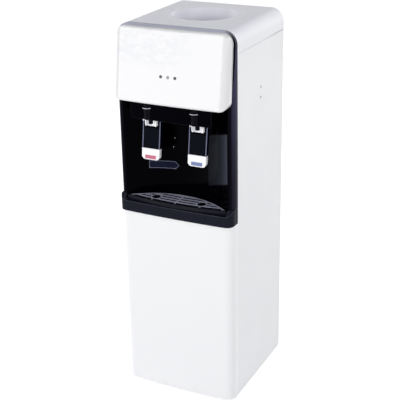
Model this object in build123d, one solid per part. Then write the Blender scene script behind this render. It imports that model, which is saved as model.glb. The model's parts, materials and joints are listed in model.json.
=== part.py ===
from build123d import *
import math
import os

os.makedirs("parts", exist_ok=True)

# Free-standing water dispenser, millimetres.
# +X to the user's right, +Y to the rear, +Z up; origin on the floor under the middle of the machine.

# ---- cabinet ----
bodyWidth = 310.0          # across the side panels
bodyHeight = 960.0         # bottom edge of the panels to the top of the cover
footHeight = 10.0
frontReach = 160.0         # middle of the lower front panel, ahead of the origin
rearReach = 160.0          # rear edge of the side panels, behind the origin
seamSetback = 39.0         # seam between front mouldings and side panels, behind the lower front
sheet = 1.2                # steel sheet
plastic = 2.6              # wall of the large mouldings
fitGap = 0.3               # shut line between neighbouring mouldings
flangeWidth = 14.0         # turned-in edges of the side panels
panelBow = 6.0             # how far the front panel bows ahead of its edges
panelCorner = 26.0
coverCorner = 32.0         # rounding of the long top edges
coverSkirt = 53.0          # height of the top cover's sides

# ---- front: frame, tap niche, fascia, tray ----
frameDepth = 22.5          # front frame ahead of the seam, beside the niche
frameTopDepth = 8.0        # the same at the top edge
frameColumn = 15.0
frameTopBar = 6.0
frameCorner = 12.0
slantRise = 14.0           # where the frame starts to lean back, above the niche
nicheHeight = 291.0        # niche floor to niche ceiling
nicheSweep = 54.2          # how far the concave back wall curves forward to its sides
nicheDepth = 68.0          # deepest point of the back wall, behind the lower front panel
linerWall = 2.5
ceilingOverhang = 5.0      # niche ceiling ahead of the lower front panel
fasciaInset = 5.0          # fascia's side inside the body's
fasciaDrop = 4.0           # fascia's top edge below the cover's top
fasciaHeight = 175.0
fasciaOverhang = 20.0      # lower edge of the fascia, ahead of the lower front panel
fasciaLean = 26.0          # how far the fascia leans back to its top
fasciaBow = 4.5
fasciaCorner = 18.0
fasciaRoundTop = 25.0
fasciaRoundBottom = 20.0
fasciaEdge = 5.0
trayRim = 27.0             # height of the tray's front lip
trayShoulder = 40.0        # height of the tray's ends
trayOverhang = 4.0
trayBow = 4.5
trayCorner = 20.0
trayWall = 2.4
grilleRise = 11.0          # grille top above the tray's lip
grillePlate = 3.0
grilleDrop = 9.0           # grille skirt below the tray's lip
grilleFit = 1.0            # grille inside the tray, each side
grilleSkirt = 2.4
grilleBorder = 5.0
grilleDeep = 62.0          # depth of the slotted field
moduleGap = 4.0
grilleArc = 788.0          # radius of the grille's bowed slats
slotWidth = 6.2
slotPitch = 13.2
grilleModules = 4
dripHole = 11.0            # radius
dripSetback = 29.0         # drip holes behind the lower front panel
minimumSlot = 12.0         # smaller slots are left closed
trayEnd = 17.0             # solid ends of the tray beside its tub
ribX = 70.0
shoulderRun = 15.0         # length of the slope up to the tray's raised ends

# ---- taps ----
tapSpacing = 125.0
hoodHalf = 107.0
hoodHeight = 43.0
hoodOverhang = 5.0
hoodWall = 2.4
hoodCorner = 10.0
columnRadius = 8.0
columnLead = 3.0           # tap column proud of the hood
spoutHalf = 15.5
spoutHeight = 25.0
spoutSetback = 8.0         # spout guard behind the hood's front
spoutDepth = 24.0
spoutWall = 2.5
spoutCorner = 9.0          # rounded lower corners of the guard
nozzleRadius = 5.5
nozzleBore = 3.5
nozzleDrop = 15.0          # nozzle below the hood
inletSetback = 19.0        # nozzle and inlet behind the hood's front
collarRadius = 13.0
collarRise = 29.0          # collar above the hood's underside
valveHalf = 9.0
barbRadius = 3.0
barbRise = 20.0
paddleHalf = 24.0
paddleLength = 94.5
paddleTopSetback = 24.0    # lever behind the hood's front, at its top
paddleTipSetback = 10.5    # the same at its tip
paddleDepth = 13.0
paddleRail = 2.6           # width of the side arms
paddlePlate = 2.2
paddleTop = 12.0           # top of the pad below the hood
tipHeight = 27.0
tipCorner = 9.0
markWidth = 29.0
markHeight = 8.5
markRise = 2.5
markThickness = 0.6
pivotSetback = 37.0
pivotRise = 6.0            # paddle pivot above the hood's underside
pinRadius = 2.0
pinClearance = 0.06
stemArm = 14.0             # valve stem above the pivot
stemRadius = 2.5
slotRun = 10.0             # swing slot behind the pivot
swingRoom = 1.2
stemRoom = 3.2
padGap = 2.5               # pad's upper edge below the spout guard
padInset = 2.0
tongueHalf = 15.0
lugRise = 14.0             # bridge above the hood's underside
lugHeight = 14.0
barbBore = 2.0

# ---- water circuit ----
wellCentre = 30.0          # behind the origin
wellMouth = 80.0           # radius
wellFlange = 103.0         # radius of the seat ring
wellFlangeThickness = 2.0
wellLip = 5.0
wellDepth = 80.0
wellThroat = 30.0          # radius
wellFoot = 50.0            # radius at the bottom
wellWall = 2.5
guardRadius = 10.0
guardTop = 35.0            # below the top of the cover
tankRadius = 75.0
tankHeight = 176.0
tankWall = 1.2
tankGap = 8.0              # tank lid below the well
lidThickness = 6.0
coilTube = 3.5             # radius
coilTurns = 7.5
coilPitch = 14.0
foamHalf = 113.0
foamCavity = 84.0
foamFloor = 10.0
foamFrontGap = 6.5         # behind the niche wall
foamRearGap = 14.6         # ahead of the back panel
hotRadius = 55.0
hotHeight = 150.0
hotDrop = 270.0            # hot tank below the cold tank
hotCentre = 45.0
jacketWall = 28.0
jacketFloor = 15.0
hoseRadius = 4.5
coldOutlet = (45.0, 10.0)
hotOutlet = (-40.0, 60.0)
hotRise = (0.0, 45.0)
hotBarb = 26.0
barbDrop = 28.0
baffleRise = 90.0
riseGap = 19.0             # hoses climb beside the insulation
riseY = -60.0
crossGap = 16.0            # hoses cross behind the front frame
feedRise = 39.0            # hoses run forward above the niche

# ---- cooling circuit ----
compressorRadius = 72.0
compressorHeight = 165.0
compressorCentre = 45.0
compressorSeam = 119.0     # welded seam
seamHeight = 5.0
seamLip = 2.5
relayHeight = 52.0
grommetHeight = 14.0
mountSpan = 80.0
mountRun = 50.0
condenserGap = 20.0        # rearmost wires, behind the side panels
condenserTube = 2.5        # radius
condenserWire = 0.8        # radius
condenserInset = 45.0      # straight runs end inside the side panels
riserInset = 19.0
condenserRise = 80.0       # lowest run above the bay
condenserPitch = 38.0
condenserRuns = 14
wireCount = 23
bayHeight = 240.0          # open compressor bay at the rear
capillaryRadius = 1.3
pipeInset = 10.0           # upright pipes ahead of the side panels' rear edge
suctionZ = 130.0
dischargeZ = 150.0
condenserBend = 18.0
wireInset = 12.0
bracketInset = 6.0
drierInset = 43.0
drierSetback = 30.0
drierTop = 200.0
drierLength = 80.0
coilRise = 12.0

# ---- base, fasteners and rear fittings ----
baseSheet = 1.2
baseFlange = 18.0
shelfSheet = 1.2
footRadius = 14.0
footSpigot = 4.0           # radius
footChamfer = 1.5
footInset = 35.0
footFrontInset = 75.0
footRearInset = 35.0
studRadius = 3.0
studRise = 24.0
screwRadius = 1.7
screwHead = 3.6            # radius
screwLength = 8.0
screwProud = 0.15          # heads in the curved wall
sideScrewY = 16.5
sideScrewDrop = (164.0, 190.0)
nicheScrews = ((-26.0, 185.0), (-30.0, 162.0))   # across, and above the niche floor
nicheScrewTurn = 37.0      # how far the cross recesses are turned
rearScrewInset = 8.0
rearScrewMiddle = 590.0
rearScrewRise = 22.0
rearScrewDrop = 75.0
ventRows = 6
ventPitch = 14.0
ventDrop = 264.0
ventX = 62.0
ventLength = 84.0
ventWidth = 5.0
switchInset = 63.0
switchDrop = 73.0
bezelHalf = 27.0
bezelRise = 17.0
bezelLip = 2.5
bezelDepth = 24.0
rockerHalf = 9.0
rockerRise = 11.0
rockerTilt = 8.0
rockerPitch = 22.0
portRise = 35.0            # inlet and drain above the bay
inletInset = 47.0
inletRadius = 9.0
drainX = 30.0
drainRadius = 7.0
spigotReach = 34.0         # drain spigot inside the cabinet
capRadius = 11.0
tongueDrop = 12.0
lampX = (-18.5, 0.0, 18.5)
lampRise = 68.0            # lamps above the niche ceiling
lampRadius = 3.75
lampProud = 0.4
arrowTail = -91.0
arrowTip = -14.0
arrowRise = 114.0          # arrow plate above the niche floor
arrowHalf = 11.0
arrowThickness = 0.8
arrowSeat = 0.1            # glue line behind the arrow plate
boardHalf = 34.0
boardRise = 14.0           # half the lamp board's height
boardSetback = 22.0        # lamp board behind the fascia's lower edge

# ---- derived places ----
half = bodyWidth / 2
seamY = seamSetback - frontReach
panelBase = footHeight
topZ = footHeight + bodyHeight
skirtZ = topZ - coverSkirt
innerHalf = half - sheet
columnInner = half - frameColumn
fasciaTop = topZ - fasciaDrop
nicheCeiling = fasciaTop - fasciaHeight
nicheFloor = nicheCeiling - nicheHeight
nicheBack = frontReach - nicheDepth
nicheRadius = (columnInner ** 2 + nicheSweep ** 2) / (2 * nicheSweep)
nicheCentreY = -nicheBack - nicheRadius
ceilingReach = frontReach + ceilingOverhang
fasciaReach = frontReach + fasciaOverhang
fasciaHalf = half - fasciaInset
frameFrontY = seamY - frameDepth
slantZ = nicheCeiling + slantRise
trayReach = frontReach + trayOverhang
tubHalf = half - trayEnd
grilleHalf = tubHalf - grilleFit
dripReach = frontReach - dripSetback
rimZ = nicheFloor + trayRim
shoulderZ = nicheFloor + trayShoulder
grilleZ = rimZ + grilleRise
grilleSeatZ = rimZ - grilleDrop
hoodZ = nicheCeiling - hoodHeight
hoodReach = frontReach + hoodOverhang
spoutFront = hoodReach - spoutSetback
inletReach = hoodReach - inletSetback
paddleTopReach = hoodReach - paddleTopSetback
paddleTipReach = hoodReach - paddleTipSetback
pivotReach = hoodReach - pivotSetback
pivotZ = hoodZ + pivotRise
tipZ = hoodZ - 10.0 - paddleLength
padTopZ = hoodZ - spoutHeight - padGap
lugBase = hoodZ + lugRise
lugTop = lugBase + lugHeight
tapX = tapSpacing / 2
lampZ = nicheCeiling + lampRise
boardY = boardSetback - fasciaReach
arrowZ = nicheFloor + arrowRise
wellBottomZ = topZ - wellDepth
lidTopZ = wellBottomZ - tankGap
lidZ = lidTopZ - lidThickness
tankFloor = lidZ - tankHeight
baffleZ = tankFloor + baffleRise
coilFloor = tankFloor + coilRise
coilRadius = tankRadius + coilTube + fitGap
coilTopZ = coilFloor + coilPitch * coilTurns
foamBottom = tankFloor - foamFloor
foamFront = linerWall + foamFrontGap - nicheBack
foamRear = rearReach - 2 * sheet - foamRearGap
hotFloor = tankFloor - hotDrop
riseX = foamHalf + riseGap
feedZ = nicheCeiling + feedRise
crossY = seamY + crossGap
studTop = panelBase + baseSheet + studRise
mountPlaces = [(x, compressorCentre + y) for x in (-mountSpan, mountSpan) for y in (-mountRun, mountRun)]
footX = half - footInset
footFront = frontReach - footFrontInset
footRear = rearReach - footRearInset
footPlaces = [(x, y) for x in (-footX, footX) for y in (-footFront, footRear)]
condenserReach = rearReach + condenserGap
condenserY = condenserReach - 2 * condenserWire - condenserTube
condenserHalf = half - condenserInset
condenserBottom = bayHeight + condenserRise
wireHalf = condenserHalf - wireInset
bracketX = condenserHalf - bracketInset
riserX = half - riserInset
drierX = half - drierInset
drierY = rearReach - drierSetback
pipeY = rearReach - pipeInset
rearScrewX = half - rearScrewInset
rearScrewZ = (bayHeight + rearScrewRise, rearScrewMiddle, topZ - rearScrewDrop)
sideScrewZ = [topZ - drop for drop in sideScrewDrop]
ventTop = topZ - ventDrop
switchX = switchInset - half
switchZ = topZ - switchDrop
rockerY = rearReach - sheet - 3.5
inletX = inletInset - half
portZ = bayHeight + portRise


def block(x0, x1, y0, y1, z0, z1):
    """Box between two corners."""
    middle = Pos((x0 + x1) / 2, (y0 + y1) / 2, (z0 + z1) / 2)
    return middle * Box(abs(x1 - x0), abs(y1 - y0), abs(z1 - z0))


def post(x, y, z0, z1, radius):
    """Upright cylinder."""
    return Pos(x, y, (z0 + z1) / 2) * Cylinder(radius, abs(z1 - z0))


def crossRod(y, z, x0, x1, radius):
    """Cylinder along X."""
    return Pos((x0 + x1) / 2, y, z) * Rot(0, 90, 0) * Cylinder(radius, abs(x1 - x0))


def deepRod(x, z, y0, y1, radius):
    """Cylinder along Y."""
    return Pos(x, (y0 + y1) / 2, z) * Rot(90, 0, 0) * Cylinder(radius, abs(y1 - y0))


def planFace(halfWidth, front, bow, corner, rear):
    """Plan outline: bowed front with rounded corners, straight sides, flat rear."""
    edge = front + bow
    if bow > 0:
        nose = ThreePointArc((-halfWidth, edge), (0, front), (halfWidth, edge))
    else:
        nose = Line((-halfWidth, edge), (halfWidth, edge))
    outline = [
        nose,
        Line((halfWidth, edge), (halfWidth, rear)),
        Line((halfWidth, rear), (-halfWidth, rear)),
        Line((-halfWidth, rear), (-halfWidth, edge)),
    ]
    face = make_face(outline)
    if corner > 0:
        face = fillet(face.vertices().group_by(Axis.Y)[0], corner)
    return face


def plate(face, z0, z1):
    """Plan face carried up from z0 to z1."""
    return extrude(Pos(0, 0, z0) * face, amount=z1 - z0)


def archFace(halfWidth, z0, z1, corner, foot=0.0):
    """Front-view outline with rounded top corners and, if asked, rounded bottom corners."""
    face = Pos(0, (z0 + z1) / 2) * Rectangle(2 * halfWidth, z1 - z0)
    face = fillet(face.vertices().group_by(Axis.Y)[-1], corner)
    if foot > 0:
        low = [v for v in face.vertices() if abs(v.Y - z0) < 1e-6]
        face = fillet(low, foot)
    return face


def frontward(face, y0, y1):
    """Front-view face carried forward from y0 to y1 (y1 < y0)."""
    return extrude(Plane.XZ.offset(-y0) * face, amount=y0 - y1)


def sideward(points, x0, x1):
    """Side-view outline, as (y, z) points, carried along X."""
    face = make_face(Polyline(*points, close=True))
    return extrude(Plane.YZ.offset(x0) * face, amount=x1 - x0)


def mirrored(shape):
    return mirror(shape, Plane.YZ)


def tube(points, radii, radius):
    """Round bar along straight runs joined by tangent arcs."""
    path = FilletPolyline(*points, radius=radii)
    start = Plane(origin=path @ 0, z_dir=path % 0)
    return sweep(start * Circle(radius), path=path)


# ---------------------------------------------------------------- cabinet

def sidePanel():
    """Right-hand coated steel panel with turned front and rear edges and two screw holes."""
    skin = block(innerHalf, half, seamY, rearReach, panelBase, skirtZ - fitGap)
    frontEdge = block(half - flangeWidth, innerHalf, seamY, seamY + sheet, panelBase, skirtZ - fitGap)
    rearEdge = block(half - flangeWidth, innerHalf, rearReach - sheet, rearReach, panelBase,
                     skirtZ - fitGap)
    panel = skin + frontEdge + rearEdge
    for place in sideScrewPlaces() + rearScrewPlaces():
        panel -= place * screwShape(screwLength)
    return panel


def basePlate():
    """Pressed steel floor with upturned edges, foot holes and compressor studs."""
    x = innerHalf
    front = seamY + sheet
    rear = rearReach - sheet
    pan = block(-x, x, front, rear, panelBase, panelBase + baseFlange)
    pan -= block(-x + baseSheet, x - baseSheet, front + baseSheet, rear - baseSheet,
                 panelBase + baseSheet, panelBase + baseFlange + 1)
    for fx, fy in footPlaces:
        pan -= post(fx, fy, panelBase - 1, panelBase + baseSheet + 1, footSpigot + pinClearance)
    for mx, my in mountPlaces:
        pan += post(mx, my, panelBase + baseSheet, studTop, studRadius)
    return pan


def feet():
    """Four rubber feet, each with a spigot pushed into the floor plate."""
    pads = []
    for x, y in footPlaces:
        pad = post(x, y, 0, footHeight, footRadius)
        pad = chamfer(pad.edges().group_by(Axis.Z)[0], footChamfer)
        pads.append(pad + post(x, y, footHeight, footHeight + baseSheet, footSpigot))
    return Compound(children=pads)


def backPanel():
    """Rear sheet above the compressor bay, with vents and the cut-outs for the rear fittings."""
    rear = rearReach - sheet
    x = innerHalf
    panel = block(-x, x, rear - sheet, rear, bayHeight, skirtZ - fitGap)
    for row in range(ventRows):
        z = ventTop - row * ventPitch
        for side in (-1, 1):
            slot = Pos(side * ventX, z) * SlotOverall(ventLength, ventWidth)
            panel -= extrude(Plane.XZ.offset(-rear - 1) * slot, amount=sheet + 2)
    panel -= block(switchX - bezelHalf + bezelLip, switchX + bezelHalf - bezelLip, rear - 5, rear + 5,
                   switchZ - bezelRise + bezelLip, switchZ + bezelRise - bezelLip)
    panel -= deepRod(inletX, portZ, rear - 5, rear + 5, inletRadius)
    panel -= deepRod(drainX, portZ, rear - 5, rear + 5, drainRadius)
    for place in rearScrewPlaces():
        panel -= place * screwShape(screwLength)
    return panel


def topCover():
    """White cover: rounded long edges, skirts, and a seat for the bottle well."""
    outer = frontward(archFace(half, skirtZ, topZ, coverCorner), rearReach, seamY)
    inner = frontward(archFace(half - plastic, skirtZ - 1, topZ - plastic, coverCorner - plastic),
                      rearReach - plastic, seamY + plastic)
    cover = outer - inner
    cover -= block(-columnInner, columnInner, seamY - 1, seamY + plastic + 1, skirtZ - 1,
                   topZ - 3 * plastic)
    tongue = block(innerHalf - 2 * plastic, innerHalf - fitGap, seamY + flangeWidth,
                   rearReach - flangeWidth, skirtZ - tongueDrop, skirtZ + tongueDrop)
    cover += tongue
    cover += mirrored(tongue)
    boss = post(0, wellCentre, topZ - 3 * plastic, topZ - plastic / 2, wellFlange + 2 * plastic)
    cover += boss
    cover -= post(0, wellCentre, topZ - wellFlangeThickness, topZ + 1, wellFlange + fitGap)
    cover -= post(0, wellCentre, topZ - 20, topZ + 1, wellMouth + wellLip + wellWall + fitGap)
    return cover


def bottleWell():
    """Bottle seat: flat ring, rounded lip, funnel and throat."""
    lip = wellMouth + wellLip
    with BuildPart() as well:
        with BuildSketch(Plane.XZ.offset(-wellCentre)):
            with BuildLine():
                Polyline(
                    (lip, topZ), (wellFlange, topZ), (wellFlange, topZ - wellFlangeThickness),
                    (lip + wellWall, topZ - wellFlangeThickness),
                    (lip + wellWall, topZ - wellLip), (wellMouth + wellWall, topZ - 2 * wellLip),
                    (wellFoot + wellWall, wellBottomZ), (wellThroat, wellBottomZ),
                    (wellThroat, wellBottomZ + wellWall), (wellFoot, wellBottomZ + wellWall),
                    (wellMouth, topZ - wellLip))
                ThreePointArc((wellMouth, topZ - wellLip),
                              (lip - wellLip * math.cos(math.pi / 4),
                               topZ - wellLip + wellLip * math.sin(math.pi / 4)), (lip, topZ))
            make_face()
        revolve(axis=Axis((0, wellCentre, 0), (0, 0, 1)))
    return well.part


def waterGuard():
    """Hollow probe that opens the bottle cap, with four side slots and a flange in the well."""
    floorZ = wellBottomZ + wellWall
    top = topZ - guardTop
    guard = post(0, wellCentre, lidTopZ, top, guardRadius)
    guard = fillet(guard.edges().group_by(Axis.Z)[-1], guardRadius * 0.6)
    guard += post(0, wellCentre, floorZ, floorZ + wellWall, wellFoot - 4)
    guard -= post(0, wellCentre, lidZ, top - 2 * wellWall, guardRadius - wellWall)
    slot = block(-guardRadius - 1, guardRadius + 1, wellCentre - 2, wellCentre + 2,
                 floorZ + 10, top - 12)
    guard -= slot
    turned = Pos(0, wellCentre, 0) * Rot(0, 0, 90) * Pos(0, -wellCentre, 0) * slot
    return guard - turned


def wellGasket():
    """Rubber ring between the well and the tank lid."""
    ring = post(0, wellCentre, lidTopZ, wellBottomZ, wellFoot - 4)
    return ring - post(0, wellCentre, lidZ, wellBottomZ + 1, wellThroat + 2)


# ---------------------------------------------------------------- front mouldings

def lowerFrontPanel():
    """White skirt panel below the taps: bowed front, rounded corners, closed top edge."""
    outerTop = nicheFloor
    rear = seamY - fitGap
    outer = plate(planFace(half, -frontReach, panelBow, panelCorner, rear), panelBase, outerTop)
    inner = planFace(half - plastic, -frontReach + plastic, panelBow, panelCorner - plastic, rear + 1)
    panel = outer - plate(inner, panelBase - 1, outerTop - plastic)
    for side in (-1, 1):
        outerX = side * (half - plastic / 2)
        panel += block(side * (half - flangeWidth), outerX, rear - plastic, rear, panelBase,
                       outerTop - plastic / 2)
    return panel


def frontFrame():
    """Dark frame round the niche and fascia: arch of two columns and a top bar."""
    outer = frontward(archFace(half, shoulderZ + fitGap, topZ, coverCorner), seamY, frameFrontY)
    hole = frontward(archFace(columnInner, shoulderZ - 1, topZ - frameTopBar, coverCorner - frameTopBar),
                     seamY + 1, frameFrontY - 1)
    frame = outer - hole
    frame = frame & plate(planFace(half, frameFrontY, 0, frameCorner, seamY), shoulderZ, topZ + 1)
    far = -fasciaReach - 30
    frame -= sideward([(frameFrontY, slantZ), (seamY - frameTopDepth, topZ), (far, topZ + 1),
                       (far, slantZ)], -half - 1, half + 1)
    return frame


def nicheLiner():
    """Glossy black niche: concave back wall, floor, ceiling and mounting flanges."""
    low = nicheFloor - linerWall
    high = nicheCeiling + linerWall
    backDisc = Pos(0, nicheCentreY) * Circle(nicheRadius + linerWall)
    frontDisc = Pos(0, nicheCentreY) * Circle(nicheRadius)
    width = 2 * columnInner
    wallBand = (backDisc - frontDisc) & (Pos(0, (frameFrontY - 1.5) / 2) * Rectangle(
        width, -frameFrontY + 1.5))
    liner = plate(wallBand, low, high)
    for z0, front in ((nicheCeiling, ceilingReach), (low, -seamY)):
        zone = Pos(0, -front / 2) * Rectangle(width, front)
        liner += plate(backDisc & zone, z0, z0 + linerWall)
    side = block(columnInner - linerWall, columnInner, frameFrontY + 1, seamY + sheet + linerWall,
                 shoulderZ + 1, high)
    side += block(columnInner - linerWall, columnInner + 10, seamY + sheet, seamY + sheet + linerWall,
                  shoulderZ + 1, high)
    liner += side
    liner += mirrored(side)
    liner -= block(-half, half, frameFrontY - 20, seamY, low - 1, nicheFloor)
    for x in (-tapX, tapX):
        liner -= post(x, -inletReach, nicheCeiling - 5, high + 1, barbRadius + 1)
    for place in nicheScrewPlaces():
        liner -= place * screwShape(screwLength)
    return liner


def wallY(x):
    """Depth of the niche's back wall at a distance x from the middle."""
    return nicheCentreY + math.sqrt(nicheRadius ** 2 - x ** 2)


def fasciaBlock(inset):
    """Leaning, bowed block with rounded corners, drawn in by inset all round."""
    low = nicheCeiling + inset
    high = fasciaTop - inset
    halfWidth = fasciaHalf - inset
    face = planFace(halfWidth, -fasciaReach + inset, fasciaBow, fasciaCorner - inset, fasciaLean)
    overshoot = 0.2
    slope = fasciaLean / (fasciaTop - nicheCeiling)
    lean = Vector(0, slope, 1) * (fasciaTop - nicheCeiling + 2 * overshoot)
    start = Pos(0, -slope * overshoot, nicheCeiling - overshoot)
    body = extrude(start * face, amount=lean.length, dir=lean.normalized())
    outline = archFace(halfWidth + 0.02, low, high, fasciaRoundTop - inset, fasciaRoundBottom - inset)
    return body & frontward(outline, 0, -fasciaReach - 30)


def fascia():
    """White glossy front moulding above the niche, an open-backed shell."""
    shell = fasciaBlock(0)
    front = shell.faces().sort_by(Axis.Y)[0]
    shell = fillet(front.edges(), fasciaEdge)
    shell -= fasciaBlock(plastic)
    back = [(frameFrontY - fitGap, slantZ), (seamY - frameTopDepth - fitGap, topZ + 1), (1, topZ + 1),
            (1, nicheCeiling - 1), (frameFrontY - fitGap, nicheCeiling - 1)]
    shell -= sideward(back, -half, half)
    shell -= block(-half, half, -ceilingReach - fitGap, 0, nicheCeiling - 1, nicheCeiling + plastic)
    for x in lampX:
        shell -= deepRod(x, lampZ, -fasciaReach, -fasciaReach + 40, lampRadius + 0.2)
    for x in (-boardHalf + 4, boardHalf - 4):
        shell += deepRod(x, lampZ, fasciaFrontY(lampZ) + plastic / 2, boardY, 3)
    return shell


def hoodPlan(inset):
    """Plan of the tap hood: bowed front, straight sides, rear following the niche wall."""
    front = -hoodReach + inset
    face = planFace(hoodHalf - inset, front, fasciaBow / 2, 0, -nicheBack)
    return face & (Pos(0, nicheCentreY) * Circle(nicheRadius - fitGap - inset))


def tapHood():
    """Black housing under the ceiling that carries both taps."""
    hood = plate(hoodPlan(0), hoodZ, nicheCeiling)
    hood = hood & frontward(flipped(hoodHalf + 0.02, hoodZ, nicheCeiling + 0.02, hoodCorner), 0,
                            -hoodReach - 5)
    cavity = plate(hoodPlan(hoodWall), hoodZ + hoodWall, nicheCeiling + 1)
    corner = flipped(hoodHalf - hoodWall + 0.02, hoodZ + hoodWall, nicheCeiling + 2,
                     hoodCorner - hoodWall)
    hood -= cavity & frontward(corner, 0, -hoodReach - 5)
    reach = paddleHalf + swingRoom
    for x in (-tapX, tapX):
        hood -= post(x, -hoodReach + columnRadius - columnLead, hoodZ - 1, nicheCeiling + 1,
                     columnRadius + fitGap)
        hood -= block(x - reach, x + reach, -inletReach + nozzleRadius + 2, -pivotReach + slotRun,
                      hoodZ - 1, hoodZ + hoodWall + 1)
        hood -= block(x - spoutHalf - fitGap, x + spoutHalf + fitGap, -spoutFront - fitGap,
                      -pivotReach + slotRun - 1, hoodZ - 1, hoodZ + hoodWall + 2)
        for side in (-1, 1):
            cheek = block(x + side * reach, x + side * (reach + hoodWall), -pivotReach - 6,
                          -pivotReach + 6, hoodZ + hoodWall / 2, pivotZ + 6)
            hood += cheek - crossRod(-pivotReach, pivotZ, x - 2 * reach, x + 2 * reach, pinRadius)
    return hood


def flipped(halfWidth, z0, z1, corner):
    """Front-view outline with rounded bottom corners."""
    face = Pos(0, (z0 + z1) / 2) * Rectangle(2 * halfWidth, z1 - z0)
    return fillet(face.vertices().group_by(Axis.Y)[0], corner)


def trayOutline(inset):
    """Plan of the tray: bowed lip over the full width, concave-wall tongue behind."""
    rear = seamY - fitGap - 0.1
    face = planFace(half - inset, -trayReach + inset, trayBow, trayCorner - inset, rear - inset)
    notch = Pos(0, -75) * Rectangle(2 * (columnInner + 0.4 + inset), 150)
    notch -= Pos(0, nicheCentreY) * Circle(nicheRadius - 1.0 - inset)
    lens = (Pos(0, -100) * Rectangle(2 * (columnInner - inset), 100))
    lens = lens & (Pos(0, nicheCentreY) * Circle(nicheRadius - 1.0 - inset))
    return (face - notch) + lens


def dripTray():
    """Removable tray: front lip flush with the cabinet sides, raised ends, deep tub."""
    low = nicheFloor
    tray = plate(trayOutline(0), low, shoulderZ)
    ends = [(-trayReach - 1, rimZ), (-frontReach, rimZ), (shoulderRun - frontReach, shoulderZ),
            (0, shoulderZ), (0, shoulderZ + 1), (-trayReach - 1, shoulderZ + 1)]
    tray -= sideward(ends, -half - 1, half + 1)
    tray -= block(-columnInner - 0.4, columnInner + 0.4, -trayReach - 1, 0, rimZ, shoulderZ + 1)
    tub = trayOutline(trayWall) & (Pos(0, -150) * Rectangle(2 * tubHalf, 300))
    tray -= plate(tub, low + trayWall, shoulderZ)
    pocket = trayOutline(trayWall) & (Pos((tubHalf + trayWall + half) / 2, -150) * Rectangle(
        half - tubHalf - trayWall, 300))
    for socket in (pocket, mirror(pocket, Plane.YZ)):
        tray -= plate(socket, low - 1, rimZ - trayWall)
    for x in (-ribX, ribX):
        tray += block(x - 1, x + 1, -trayReach + trayWall / 2 + 1, wallY(x) - 1 - trayWall / 2,
                      low + trayWall / 2, grilleSeatZ)
    return tray


def grilleOutline(inset):
    """Plan of the grille: front edge on the slat radius, rear edge beside the niche wall."""
    arcY = -frontReach + grilleArc
    face = (Pos(0, -150) * Rectangle(2 * (grilleHalf - inset), 300))
    face = face & (Pos(0, arcY) * Circle(grilleArc - inset))
    return face & (Pos(0, nicheCentreY) * Circle(nicheRadius - 1.0 - trayWall - 0.6 - inset))


def dripGrille():
    """Lift-out grille: deck with bowed slats and two drip holes, skirt clipped on in two halves."""
    deck = plate(grilleOutline(0), grilleZ - grillePlate, grilleZ)
    ring = plate(grilleOutline(0), grilleSeatZ, grilleZ - grillePlate)
    ring -= plate(grilleOutline(grilleSkirt), grilleSeatZ - 1, grilleZ)
    skirts = [ring & block(side * fitGap / 2, side * half, -2 * frontReach, 0, grilleSeatZ, grilleZ)
              for side in (-1, 1)]
    arcY = -frontReach + grilleArc
    moduleWidth = 2 * (grilleHalf - grilleBorder) / grilleModules
    zone = grilleOutline(grilleBorder)
    for x in (-tapX, tapX):
        zone -= Pos(x, -dripReach) * Circle(dripHole + slotWidth / 2)
    columns = []
    for index in range(grilleModules):
        x = -grilleHalf + grilleBorder + moduleWidth * (index + 0.5)
        columns.append(Pos(x, -150) * Rectangle(moduleWidth - moduleGap, 300))
    slots = []
    row = grilleArc - grilleBorder - 1
    while row > grilleArc - grilleDeep:
        band = (Pos(0, arcY) * Circle(row)) - (Pos(0, arcY) * Circle(row - slotWidth))
        band = band & (Pos(0, -110) * Rectangle(2 * grilleHalf, 110)) & zone
        for column in columns:
            for face in (band & column).faces():
                if face.area > minimumSlot:
                    slots.append(plate(face, grilleZ - grillePlate - 1, grilleZ + 1))
        row -= slotPitch
    for x in (-tapX, tapX):
        slots.append(post(x, -dripReach, grilleZ - grillePlate - 1, grilleZ + 1, dripHole))
    return Compound(children=[deck - slots] + skirts)


# ---------------------------------------------------------------- taps

def paddleFront(z):
    """Depth of the paddle's front face at height z."""
    share = (hoodZ - paddleTop - z) / (hoodZ - paddleTop - tipZ)
    return -paddleTopReach - share * (paddleTipReach - paddleTopReach)


def slab(z0, z1, near, far, halfWidth):
    """Slab parallel to the paddle's front face, near and far measured behind that face."""
    outline = [(paddleFront(z0) + near, z0), (paddleFront(z0) + far, z0),
               (paddleFront(z1) + far, z1), (paddleFront(z1) + near, z1)]
    return sideward(outline, -halfWidth, halfWidth)


def tapBody(x):
    """Tap: column with collar, valve block, hollow nozzle and hose barb."""
    columnY = -hoodReach + columnRadius - columnLead
    top = nicheCeiling - fitGap
    body = post(x, columnY, hoodZ, top, columnRadius)
    body += block(x - valveHalf, x + valveHalf, columnY, -inletReach + valveHalf, hoodZ + hoodWall + 1,
                  top)
    body += post(x, -inletReach, hoodZ - nozzleDrop, hoodZ + hoodWall + 2, nozzleRadius)
    body += post(x, -inletReach, top - 1, nicheCeiling + barbRise, barbRadius)
    body -= post(x, -inletReach, hoodZ - nozzleDrop - 1, nicheCeiling + barbRise + 1, barbBore)
    body -= post(x, -inletReach, hoodZ - nozzleDrop - 1, hoodZ, nozzleBore)
    stemZ = pivotZ + stemArm
    body -= deepRod(x, stemZ, -inletReach - 3, -inletReach + valveHalf + 1, stemRadius + pinClearance)
    return body


def tapCollar(x):
    """Bright ring round the tap column where it leaves the hood front."""
    columnY = -hoodReach + columnRadius - columnLead
    z = hoodZ + collarRise
    ring = post(x, columnY, z, z + 2.0, collarRadius) - post(x, columnY, z - 1, z + 3, columnRadius)
    return ring & block(x - 20, x + 20, -hoodReach - 30, -hoodReach - fitGap, z - 1, z + 3)


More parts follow.
